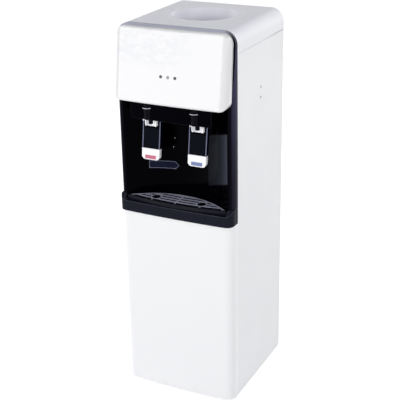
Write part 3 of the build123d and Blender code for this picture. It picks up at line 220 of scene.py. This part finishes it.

# every finish: colour and its darker cloud, roughness with its spread, grain size (per metre)
# and depth (metres), dust, what the surface is made of, and tones laid on a part of it,
# most of them painted shade, light, highlights or reflections
finishes = {
    "cover_white": dict(colour=(234, 237, 246), cloud=(231, 234, 244), rough=0.34, spread=0.04,
                        grain=1600, depth=0.00004, dust=0.06, edge=0.0010,
                        # the seam tones paint shade into the joint under the cover
                        seam=0.9192, seamShadeRear=(0.01, 0.13), seamShadeTone=(188, 190, 197),
                        # the wall tones paint light onto the cover's upright faces
                        litWallTurn=(0.2, 0.9), litWallTone=(246, 247, 250)),
    "well_white": dict(colour=(240, 241, 250), cloud=(236, 237, 247), rough=0.34, spread=0.04,
                       grain=1600, depth=0.00003, dust=0.05, edge=0.0008,
                       # the well's tones paint shade, darker downwards
                       deep=(0.898, 0.950), deepTone=(122, 122, 136)),
    "white_steel": dict(colour=(247, 248, 249), cloud=(243, 244, 246), rough=0.36, spread=0.06,
                        grain=420, depth=0.00005, coat=0.25, edge=0.0008),
    "front_white": dict(colour=(252, 253, 254), cloud=(252, 253, 254), rough=0.33, spread=0.03,
                        grain=500, depth=0.00003, coat=0.3, edge=0.0010),
    "fascia_white": dict(colour=(239, 239, 240), cloud=(238, 238, 239), rough=0.12, spread=0.02,
                         grain=700, depth=0.00001, coat=0.4, facets=0.0005,
                         facetTone=(230, 231, 234)),
    "frame_grey": dict(colour=(8, 8, 17), cloud=(6, 6, 14), rough=0.22, spread=0.04,
                       grain=1300, depth=0.00003, specular=0.02, edge=0.0012,
                       # painted light: the side tones paint a reflection on the frame's outer
                       # sides, the top tones a highlight along its top
                       sideReflectionTone=(60, 58, 82), sideReflectionLow=(40, 38, 50), sideReflectionRise=(0.62, 0.84),
                       sideReflectionTurn=(0.3, 0.8), sideReflectionFrom=0.146, topHighlightTone=(176, 178, 194),
                       topHighlightRise=(0.950, 0.960), topHighlightMiddle=-0.010, topHighlightSpan=(0.135, 0.160)),
    "niche_black": dict(colour=(1, 1, 5), cloud=(1, 1, 3), rough=0.11, spread=0.03,
                        grain=700, depth=0.000006, specular=0.015, edge=0.0008),
    "hood_black": dict(colour=(2, 2, 7), cloud=(1, 1, 5), rough=0.14, spread=0.04,
                       grain=900, depth=0.00001, specular=0.012, edge=0.0012,
                       # painted highlight on the hood's edges
                       edgeHighlightTone=(66, 68, 72)),
    "tray_grey": dict(colour=(32, 34, 44), cloud=(28, 30, 40), rough=0.34, spread=0.05,
                      grain=1500, depth=0.00004, specular=0.03, edge=0.0022,
                      # painted highlight on the tray's edges
                      edgeHighlightTone=(104, 106, 118)),
    "grille_grey": dict(colour=(22, 23, 34), cloud=(18, 19, 29), rough=0.21, spread=0.05,
                        grain=1500, depth=0.00004, specular=0.1, edge=0.0009,
                        # the slat tones paint highlights on the slats' tops
                        slatHighlightTone=(186, 188, 210), slatFront=-0.154, slatHighlightTurn=0.7, bowRadius=0.788),
    "tap_black": dict(colour=(9, 10, 19), cloud=(7, 8, 15), rough=0.20, spread=0.05,
                      grain=1400, depth=0.00002, specular=0.04, edge=0.0006),
    "collar_chrome": dict(colour=(160, 160, 170), cloud=(146, 146, 158), rough=0.12, spread=0.04,
                          grain=900, depth=0.00001, metal=1.0),
    "spout_white": dict(colour=(250, 250, 253), cloud=(246, 246, 250), rough=0.22, spread=0.04,
                        # painted light: a little glow stands in for light on the guards
                        grain=1500, depth=0.00003, edge=0.0008, paintedGlow=0.16),
    "paddle_black": dict(colour=(6, 10, 22), cloud=(4, 7, 17), rough=0.12, spread=0.04,
                         grain=1000, depth=0.00001, specular=0.015, edge=0.0007,
                         rails=(118, 122, 146), railMiddle=0.0625, railFrom=0.0213,
                         railTurn=-0.7),
    "tip_white": dict(colour=(250, 251, 253), cloud=(246, 247, 250), rough=0.20, spread=0.04,
                      grain=1200, depth=0.00002, coat=0.3, edge=0.0010),
    "mark_red": dict(colour=(204, 104, 130), cloud=(198, 96, 122), rough=0.40, spread=0.05,
                     grain=1800, depth=0.00002),
    "mark_blue": dict(colour=(112, 128, 178), cloud=(104, 120, 172), rough=0.40, spread=0.05,
                      grain=1800, depth=0.00002),
    "pin_steel": dict(colour=(180, 180, 182), cloud=(160, 160, 164), rough=0.40, spread=0.08,
                      grain=900, depth=0.00001, metal=1.0, brushed=0.5),
    "stem_white": dict(colour=(226, 226, 222), cloud=(216, 216, 212), rough=0.42, spread=0.05,
                       grain=1400, depth=0.00003),
    "lens_grey": dict(colour=(62, 62, 74), cloud=(50, 50, 62), rough=0.10, spread=0.03,
                      grain=900, depth=0.00001, coat=0.8, middle=(150, 150, 160),
                      middleHalf=0.009),
    "board_green": dict(colour=(20, 84, 46), cloud=(14, 68, 36), rough=0.42, spread=0.08,
                        grain=900, depth=0.00004),
    "arrow_grey": dict(colour=(28, 31, 54), cloud=(24, 27, 48), rough=0.20, spread=0.05,
                       grain=1400, depth=0.00002, specular=0.02),
    "screw_steel": dict(colour=(176, 176, 180), cloud=(150, 150, 156), rough=0.36, spread=0.06,
                        # painted shade on the screws inside the niche, with a painted glint at each
                        # centre
                        grain=1200, depth=0.00002, metal=1.0, nicheShade=(10, 10, 15),
                        nicheShadeFrom=-0.05, glintCentres=((-0.026, 0.685), (-0.030, 0.662)),
                        glintSize=0.0012),
    "stainless": dict(colour=(190, 190, 190), cloud=(172, 172, 174), rough=0.42, spread=0.08,
                      grain=800, depth=0.00001, metal=1.0, brushed=0.8),
    "copper": dict(colour=(208, 134, 96), cloud=(158, 92, 66), rough=0.38, spread=0.08,
                   grain=500, depth=0.00003, metal=1.0),
    "foam": dict(colour=(232, 222, 186), cloud=(214, 200, 160), rough=0.85, spread=0.08,
                 grain=260, depth=0.00035),
    "zinc_sheet": dict(colour=(176, 178, 182), cloud=(150, 153, 158), rough=0.42, spread=0.12,
                       grain=240, depth=0.00003, metal=0.85, spangle=38.0),
    "back_white": dict(colour=(224, 225, 227), cloud=(216, 217, 220), rough=0.40, spread=0.06,
                       grain=420, depth=0.00005),
    "rubber_black": dict(colour=(28, 28, 29), cloud=(36, 36, 37), rough=0.72, spread=0.10,
                         grain=900, depth=0.00010),
    "silicone": dict(colour=(222, 224, 224), cloud=(210, 213, 214), rough=0.38, spread=0.06,
                     grain=700, depth=0.00003, glow=0.25),
    "black_enamel": dict(colour=(24, 24, 26), cloud=(32, 32, 34), rough=0.38, spread=0.08,
                         grain=380, depth=0.00006, coat=0.2, dust=0.25),
    "black_plastic": dict(colour=(30, 30, 32), cloud=(24, 24, 26), rough=0.42, spread=0.07,
                          grain=1300, depth=0.00005),
    "rocker_red": dict(colour=(190, 28, 30), cloud=(176, 20, 24), rough=0.20, spread=0.04,
                       grain=1200, depth=0.00002, glow=0.1),
    "rocker_green": dict(colour=(28, 148, 72), cloud=(20, 130, 62), rough=0.20, spread=0.04,
                         grain=1200, depth=0.00002, glow=0.1),
    "cap_white": dict(colour=(232, 232, 230), cloud=(222, 222, 220), rough=0.45, spread=0.06,
                      grain=1300, depth=0.00004),
    "lid_white": dict(colour=(230, 231, 233), cloud=(220, 221, 224), rough=0.50, spread=0.06,
                      grain=1200, depth=0.00004),
}


def paintSeamShade(tree, place, facing, colour, values):
    # painted shade: the joint under the cover is painted dark, more so towards the rear
    low = mathNode(tree, "LESS_THAN", place["Z"], values["seam"])
    rear = rangeNode(tree, place["Y"], 0.0, 1.0, *values["seamShadeRear"])
    mask = mathNode(tree, "MULTIPLY", low, rear, clamp=True)
    return blendColour(tree, mask, colour, tone(*values["seamShadeTone"]))


def paintLitWalls(tree, place, facing, colour, values):
    # painted light: the cover's upright faces are painted whiter than those that look up
    upright = rangeNode(tree, facing["Z"], 1.0, 0.0, *values["litWallTurn"])
    clear = mathNode(tree, "GREATER_THAN", place["Z"], values["seam"])
    mask = mathNode(tree, "MULTIPLY", upright, clear)
    return blendColour(tree, mask, colour, tone(*values["litWallTone"]))


def paintWellShade(tree, place, facing, colour, values):
    # painted shade: the bottle well is painted darker downwards into its hollow
    deep = rangeNode(tree, place["Z"], 1.0, 0.0, *values["deep"])
    return blendColour(tree, deep, colour, tone(*values["deepTone"]))


def paintLamp(tree, place, facing, colour, values):
    # the middle one of the three lamps is paler
    side = mathNode(tree, "ABSOLUTE", place["X"])
    mask = mathNode(tree, "LESS_THAN", side, values["middleHalf"])
    return blendColour(tree, mask, colour, tone(*values["middle"]))


def paintScrewShadeAndGlint(tree, place, facing, colour, values):
    # painted shade and glint: the screws inside the niche are painted dark but for a painted glint,
    # a bright dot found by the distance from each centre
    mask = mathNode(tree, "LESS_THAN", place["Y"], values["nicheShadeFrom"])
    painted = blendColour(tree, mask, colour, tone(*values["nicheShade"]))
    for acrossCentre, upCentre in values["glintCentres"]:
        across = mathNode(tree, "SUBTRACT", place["X"], acrossCentre)
        rise = mathNode(tree, "SUBTRACT", place["Z"], upCentre)
        squares = mathNode(tree, "ADD", mathNode(tree, "MULTIPLY", across, across),
                           mathNode(tree, "MULTIPLY", rise, rise))
        near = mathNode(tree, "LESS_THAN", mathNode(tree, "SQRT", squares), values["glintSize"])
        painted = blendColour(tree, mathNode(tree, "MULTIPLY", near, mask), painted, colour)
    return painted


def paintRails(tree, place, facing, colour, values):
    # the arms' front faces, on both sides of each lever's middle
    side = mathNode(tree, "ABSOLUTE", place["X"])
    offset = mathNode(tree, "ABSOLUTE", mathNode(tree, "SUBTRACT", side, values["railMiddle"]))
    arms = mathNode(tree, "GREATER_THAN", offset, values["railFrom"])
    front = mathNode(tree, "LESS_THAN", facing["Y"], values["railTurn"])
    mask = mathNode(tree, "MULTIPLY", arms, front)
    return blendColour(tree, mask, colour, tone(*values["rails"]))


def paintSideReflection(tree, place, facing, colour, values):
    # painted reflection: the frame's outer sides are painted a lighter navy, more so higher up
    high = rangeNode(tree, place["Z"], 0.0, 1.0, *values["sideReflectionRise"])
    shade = blendColour(tree, high, tone(*values["sideReflectionLow"]), tone(*values["sideReflectionTone"]))
    turned = rangeNode(tree, mathNode(tree, "ABSOLUTE", facing["X"]), 0.0, 1.0, *values["sideReflectionTurn"])
    side = mathNode(tree, "ABSOLUTE", place["X"])
    outer = mathNode(tree, "GREATER_THAN", side, values["sideReflectionFrom"])
    return blendColour(tree, mathNode(tree, "MULTIPLY", turned, outer), colour, shade)


def paintTopHighlight(tree, place, facing, colour, values):
    # painted highlight: a pale strip along the frame's top, fading out towards both ends
    off = mathNode(tree, "ABSOLUTE", mathNode(tree, "SUBTRACT", place["X"], values["topHighlightMiddle"]))
    mask = mathNode(tree, "MULTIPLY", rangeNode(tree, place["Z"], 0.0, 1.0, *values["topHighlightRise"]),
                    rangeNode(tree, off, 1.0, 0.0, *values["topHighlightSpan"]))
    return blendColour(tree, mask, colour, tone(*values["topHighlightTone"]))


def paintSlatHighlights(tree, place, facing, colour, values):
    # painted highlight: the slats' upward faces behind the tray's front edge are painted pale
    # the border follows the bowed front edge: y minus x squared over twice the bow's radius
    square = mathNode(tree, "MULTIPLY", place["X"], place["X"])
    bow = mathNode(tree, "DIVIDE", square, 2 * values["bowRadius"])
    inside = mathNode(tree, "GREATER_THAN", mathNode(tree, "SUBTRACT", place["Y"], bow),
                      values["slatFront"])
    upward = mathNode(tree, "GREATER_THAN", facing["Z"], values["slatHighlightTurn"])
    return blendColour(tree, mathNode(tree, "MULTIPLY", inside, upward), colour,
                       tone(*values["slatHighlightTone"]))


# which value of a finish calls for which painter, in the order in which they are laid on
painters = dict(nicheShade=paintScrewShadeAndGlint, seam=paintSeamShade, middle=paintLamp, deep=paintWellShade,
                litWallTone=paintLitWalls, rails=paintRails, sideReflectionTone=paintSideReflection, topHighlightTone=paintTopHighlight,
                slatHighlightTone=paintSlatHighlights)

facetShape = dict(turn=31, stretch=(1.0, 0.0, 1.9), scale=52.0, across=(-0.01, 0.09),
                  rise=(0.868, 0.90))


# low faceted relief over the fascia's upper left: random flat cells, faded by a soft mask
def facetField(tree, position, values):
    turn = tree.nodes.new("ShaderNodeMapping")
    turn.inputs["Rotation"].default_value = (0.0, math.radians(values["turn"]), 0.0)
    turn.inputs["Scale"].default_value = values["stretch"]
    tree.links.new(position, turn.inputs["Vector"])
    cells = tree.nodes.new("ShaderNodeTexVoronoi")
    cells.feature = "F1"
    cells.distance = "MANHATTAN"
    cells.inputs["Scale"].default_value = values["scale"]
    tree.links.new(turn.outputs[0], cells.inputs["Vector"])
    shade = tree.nodes.new("ShaderNodeSeparateColor")
    tree.links.new(cells.outputs["Color"], shade.inputs[0])
    place = splitAxes(tree, position)
    fade = rangeNode(tree, place["X"], 1.0, 0.0, *values["across"])
    low = rangeNode(tree, place["Z"], 0.0, 1.0, *values["rise"])
    mask = mathNode(tree, "MULTIPLY", fade, low, clamp=True)
    relief = mathNode(tree, "MULTIPLY", cells.outputs["Distance"], mask)
    return relief, mathNode(tree, "MULTIPLY", shade.outputs[0], mask)


def makeFinish(name, values):
    material = bpy.data.materials.new(name)
    material.use_nodes = True
    tree = material.node_tree
    shader = tree.nodes["Principled BSDF"]
    position = tree.nodes.new("ShaderNodeTexCoord").outputs["Object"]
    skin = useGroup(tree, skinGroup, Position=position, Grain_Scale=float(values["grain"]),
                    Cloud_Scale=everyFinish["cloudScale"])
    colour = blendColour(tree, skin["Cloud"], tone(*values["colour"]), tone(*values["cloud"]))
    rough = rangeNode(tree, skin["Cloud"], values["rough"] - values["spread"],
                      values["rough"] + values["spread"])
    height = skin["Grain"]
    if "spangle" in values:  # zinc crystals, each with its own grey and roughness
        crystal = tree.nodes.new("ShaderNodeTexVoronoi")
        crystal.inputs["Scale"].default_value = values["spangle"]
        tree.links.new(position, crystal.inputs["Vector"])
        grey = tree.nodes.new("ShaderNodeSeparateColor")
        tree.links.new(crystal.outputs["Color"], grey.inputs[0])
        mix = rangeNode(tree, grey.outputs[0], 0.0, everyFinish["spangleMix"])
        colour = blendColour(tree, mix, colour, tone(*values["cloud"]))
        change = everyFinish["spangleRough"]
        rough = mathNode(tree, "ADD", rough, rangeNode(tree, grey.outputs[0], -change, change))
    if "brushed" in values:
        streak = useGroup(tree, brushGroup, Position=position,
                          Fineness=everyFinish["streakScale"])["Streak"]
        change = everyFinish["streakRough"]
        rough = mathNode(tree, "ADD", rough, rangeNode(tree, streak, -change, change))
        height = mathNode(tree, "ADD", height, streak)
    wanted = [paint for option, paint in painters.items() if option in values]
    if wanted:
        place, facing = splitAxes(tree, position), splitAxes(tree, trueNormal(tree))
    for paint in wanted:
        colour = paint(tree, place, facing, colour, values)
    if "dust" in values:
        mask = useGroup(tree, dustGroup, Position=position, Amount=values["dust"])["Mask"]
        colour = blendColour(tree, mask, colour, tone(*everyFinish["dustTone"]))
        dull = mathNode(tree, "MULTIPLY", mask, everyFinish["dustRough"])
        rough = mathNode(tree, "ADD", rough, dull, clamp=True)
    if "facets" in values:
        relief, shade = facetField(tree, position, facetShape)
        colour = blendColour(tree, shade, colour, tone(*values["facetTone"]))
    softened = None
    if "edge" in values:  # sharp moulded and folded edges catch the light as if slightly rounded
        edge = useGroup(tree, edgeGroup, Radius=values["edge"])
        softened = edge["Normal"]
        # painted highlight: the hood's and tray's edges are painted paler where the softened normal
        # turns
        if "edgeHighlightTone" in values:
            colour = blendColour(tree, edge["Highlight"], colour, tone(*values["edgeHighlightTone"]))
    normal = bumpNode(tree, height, values["depth"], softened)
    if "facets" in values:
        normal = bumpNode(tree, relief, values["facets"], normal)
    tree.links.new(colour, shader.inputs["Base Color"])
    tree.links.new(rough, shader.inputs["Roughness"])
    tree.links.new(normal, shader.inputs["Normal"])
    shader.inputs["Metallic"].default_value = values.get("metal", 0.0)
    shader.inputs["Coat Weight"].default_value = values.get("coat", 0.0)
    shader.inputs["Coat Roughness"].default_value = everyFinish["coatRough"]
    shader.inputs["Specular IOR Level"].default_value = values.get("specular", 0.5)
    if "paintedGlow" in values:  # painted light: the white spout guards give off a little light of their own colour, as if brightly lit
        tree.links.new(colour, shader.inputs["Emission Color"])
        shader.inputs["Emission Strength"].default_value = values["paintedGlow"]
    if "glow" in values:
        shader.inputs["Subsurface Weight"].default_value = values["glow"]
        shader.inputs["Subsurface Radius"].default_value = (everyFinish["glowRadius"],) * 3
    return material


materials = {name: makeFinish(name, values) for name, values in finishes.items()}
for part in frame["record"]["subparts"]:
    shown = frame["nodes"][part["node"]]
    shown.data.materials.clear()
    shown.data.materials.append(materials[part["material_slot"]])


def newPiece(name, points, faces, material):
    mesh = bpy.data.meshes.new(name)
    mesh.from_pydata(points, [], faces)
    mesh.validate()
    mesh.materials.append(material)
    piece = bpy.data.objects.new(name, mesh)
    bpy.context.scene.collection.objects.link(piece)
    return piece


# printed outline on the arrow plate: a flat band round an arrow, laid on the niche wall's circle
arrowLine = dict(left=-0.0896, right=-0.0164, middle=0.614, halfHeight=0.0094, wallRadius=0.20701,
                 wallCentreY=-0.29991, width=0.0007, proud=0.00012, sink=0.0002, step=0.0012,
                 colour=(150, 152, 166))


def makeArrowOutline(values):
    # the arrow's corners, then points every step along each side
    neck = values["right"] - values["halfHeight"]
    low, high = values["middle"] - values["halfHeight"], values["middle"] + values["halfHeight"]
    corners = np.array([(values["left"], low), (neck, low), (values["right"], values["middle"]),
                        (neck, high), (values["left"], high)])
    ahead = np.roll(corners, -1, axis=0)
    behind = np.roll(corners, 1, axis=0)
    into = (corners - behind) / np.linalg.norm(corners - behind, axis=1, keepdims=True)
    out = (ahead - corners) / np.linalg.norm(ahead - corners, axis=1, keepdims=True)
    # miter at a corner: sum of the two side normals over one plus their dot product
    normalIn = np.stack([-into[:, 1], into[:, 0]], axis=1)
    normalOut = np.stack([-out[:, 1], out[:, 0]], axis=1)
    miter = (normalIn + normalOut) / (1 + (normalIn * normalOut).sum(axis=1, keepdims=True))
    inner = corners + miter * values["width"]
    nextInner = np.roll(inner, -1, axis=0)
    outerRun, innerRun = [], []
    for start, end, startIn, endIn in zip(corners, ahead, inner, nextInner):
        share = np.arange(0, 1, values["step"] / np.linalg.norm(end - start))[:, None]
        outerRun.append(start + share * (end - start))
        innerRun.append(startIn + share * (endIn - startIn))
    outerRun, innerRun = np.concatenate(outerRun), np.concatenate(innerRun)
    count = len(outerRun)

    # onto the wall: y = centre + square root of (radius squared - x squared)
    def laid(run, radius):
        depth = values["wallCentreY"] + np.sqrt(radius ** 2 - run[:, 0] ** 2)
        return np.stack([run[:, 0], depth, run[:, 1]], axis=1)

    top, base = values["wallRadius"] - values["proud"], values["wallRadius"] + values["sink"]
    rings = np.concatenate([laid(outerRun, top), laid(innerRun, top), laid(innerRun, base),
                            laid(outerRun, base)])
    here = np.arange(count)
    there = np.roll(here, -1)
    faces = np.concatenate([np.stack([here + a * count, there + a * count, there + b * count,
                                      here + b * count], axis=1)
                            for a, b in ((0, 1), (1, 2), (2, 3), (3, 0))])
    return rings.tolist(), faces.tolist()


finishes["outline_print"] = dict(colour=arrowLine["colour"], cloud=(130, 132, 146), rough=0.45,
                                 spread=0.08, grain=2200, depth=0.00001)
materials["outline_print"] = makeFinish("outline_print", finishes["outline_print"])
arrowOutline = newPiece("arrowOutline", *makeArrowOutline(arrowLine), materials["outline_print"])
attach(arrowOutline, "cabinet")
print("stage: new pieces made")


# 1 for the rays that show the room as it is: seen by the camera, in a reflection or through a piece
def seenRays(tree):
    rays = tree.nodes.new("ShaderNodeLightPath")
    seen = mathNode(tree, "MAXIMUM", rays.outputs["Is Camera Ray"], rays.outputs["Is Glossy Ray"])
    return mathNode(tree, "MAXIMUM", seen, rays.outputs["Is Transmission Ray"])


def surround(values):
    # pale paint that catches the shadow; the camera and reflections see it lifted towards white
    material = bpy.data.materials.new("palePaint")
    material.use_nodes = True
    tree = material.node_tree
    shader = tree.nodes["Principled BSDF"]
    shader.inputs["Base Color"].default_value = tone(*values["colour"])
    shader.inputs["Roughness"].default_value = values["rough"]
    shader.inputs["Specular IOR Level"].default_value = values["specular"]
    glow = tree.nodes.new("ShaderNodeEmission")
    glow.inputs["Color"].default_value = (1.0, 1.0, 1.0, 1.0)
    glow.inputs["Strength"].default_value = values["lift"]
    dark = tree.nodes.new("ShaderNodeEmission")
    dark.inputs["Strength"].default_value = 0.0
    choice = tree.nodes.new("ShaderNodeMixShader")
    tree.links.new(seenRays(tree), choice.inputs[0])
    tree.links.new(dark.outputs[0], choice.inputs[1])
    tree.links.new(glow.outputs[0], choice.inputs[2])
    both = tree.nodes.new("ShaderNodeAddShader")
    tree.links.new(shader.outputs[0], both.inputs[0])
    tree.links.new(choice.outputs[0], both.inputs[1])
    tree.links.new(both.outputs[0], tree.nodes["Material Output"].inputs["Surface"])
    return material


floorLook = dict(half=6.0, colour=(222, 222, 226), lift=0.80, rough=0.8, specular=0.1)
floorMesh = bpy.data.meshes.new("floor")
half = floorLook["half"]
floorMesh.from_pydata([(-half, -half, 0), (half, -half, 0), (half, half, 0), (-half, half, 0)], [],
                      [(0, 1, 2, 3)])
floor = bpy.data.objects.new("floor", floorMesh)
bpy.context.scene.collection.objects.link(floor)
floorMesh.materials.append(surround(floorLook))

world = bpy.data.worlds.new("softRoom")
bpy.context.scene.world = world
world.use_nodes = True
tree = world.node_tree
ambient = tree.nodes["Background"]
ambient.inputs["Color"].default_value = (1.0, 1.0, 1.0, 1.0)
heading = splitAxes(tree, tree.nodes.new("ShaderNodeTexCoord").outputs["Generated"])
roomLight = dict(horizon=0.86, overhead=0.19, fades=(0.0, 0.9))  # white where the room is seen
fill = rangeNode(tree, heading["Z"], roomLight["horizon"], roomLight["overhead"],
                 *roomLight["fades"])
white = mathNode(tree, "MULTIPLY", seenRays(tree), mathNode(tree, "SUBTRACT", 1.0, fill))
tree.links.new(mathNode(tree, "ADD", fill, white), ambient.inputs["Strength"])

# softboxes: where each stands, what it points at, size and power; glossOnly hides a lamp from
# diffuse surfaces, so the small card shows only as a reflection on the niche wall
lamps = {
    "frontBox": dict(place=(-1.6, -3.2, 1.3), aim=(0, 0, 0.45), size=(2.4, 2.4), power=47.5),
    "rightBox": dict(place=(2.2, -0.9, 1.7), aim=(0, 0, 0.6), size=(1.4, 1.4), power=16),
    "leftBox": dict(place=(-3.0, 0.8, 1.3), aim=(0, 0, 0.5), size=(2.0, 2.4), power=20),
    "cardBox": dict(place=(0.05, -0.1195, 0.635), aim=(0.17, -0.1195, 0.635), size=(0.014, 0.13),
                    power=0.020, tint=(0.68, 0.77, 1.0), glossOnly=True),
    "rearBox": dict(place=(0.6, 3.2, 1.4), aim=(0, 0, 0.5), size=(2.4, 2.0), power=24),
}
for name, values in lamps.items():
    light = bpy.data.lights.new(name, "AREA")
    light.shape = "RECTANGLE"
    light.size, light.size_y = values["size"]
    light.energy = values["power"]
    light.color = values.get("tint", (1.0, 1.0, 1.0))
    holder = bpy.data.objects.new(name, light)
    holder.visible_camera = False
    holder.visible_diffuse = not values.get("glossOnly", False)
    bpy.context.scene.collection.objects.link(holder)
    holder.location = values["place"]
    direction = Vector(values["aim"]) - Vector(values["place"])
    holder.rotation_euler = direction.to_track_quat("-Z", "Y").to_euler()

# the camera stands where the photograph's straight edges put it
shot = dict(azimuth=26.602, elevation=22.375, distance=2.5304, aim=(-0.007316, 0.0, 0.488335),
            roll=-1.033, lens=87.57, sensor=36.0, clipEnd=50.0)
azimuth, elevation = math.radians(shot["azimuth"]), math.radians(shot["elevation"])
back = Vector((math.sin(azimuth) * math.cos(elevation), -math.cos(azimuth) * math.cos(elevation),
               math.sin(elevation)))
right = (-back).cross(Vector((0, 0, 1))).normalized()
up = right.cross(-back).normalized()
roll = math.radians(shot["roll"])
rolledRight = right * math.cos(roll) + up * math.sin(roll)
rolledUp = up * math.cos(roll) - right * math.sin(roll)
camera = bpy.data.objects.new("camera", bpy.data.cameras.new("camera"))
bpy.context.scene.collection.objects.link(camera)
place = Vector(shot["aim"]) + back * shot["distance"]
turned = Matrix((rolledRight, rolledUp, back)).transposed().to_4x4()
camera.matrix_world = Matrix.Translation(place) @ turned
camera.data.lens = shot["lens"]
camera.data.sensor_width = shot["sensor"]
camera.data.clip_end = shot["clipEnd"]
bpy.context.scene.camera = camera
bpy.context.scene.view_settings.view_transform = "Standard"
print("stage: light and camera set")
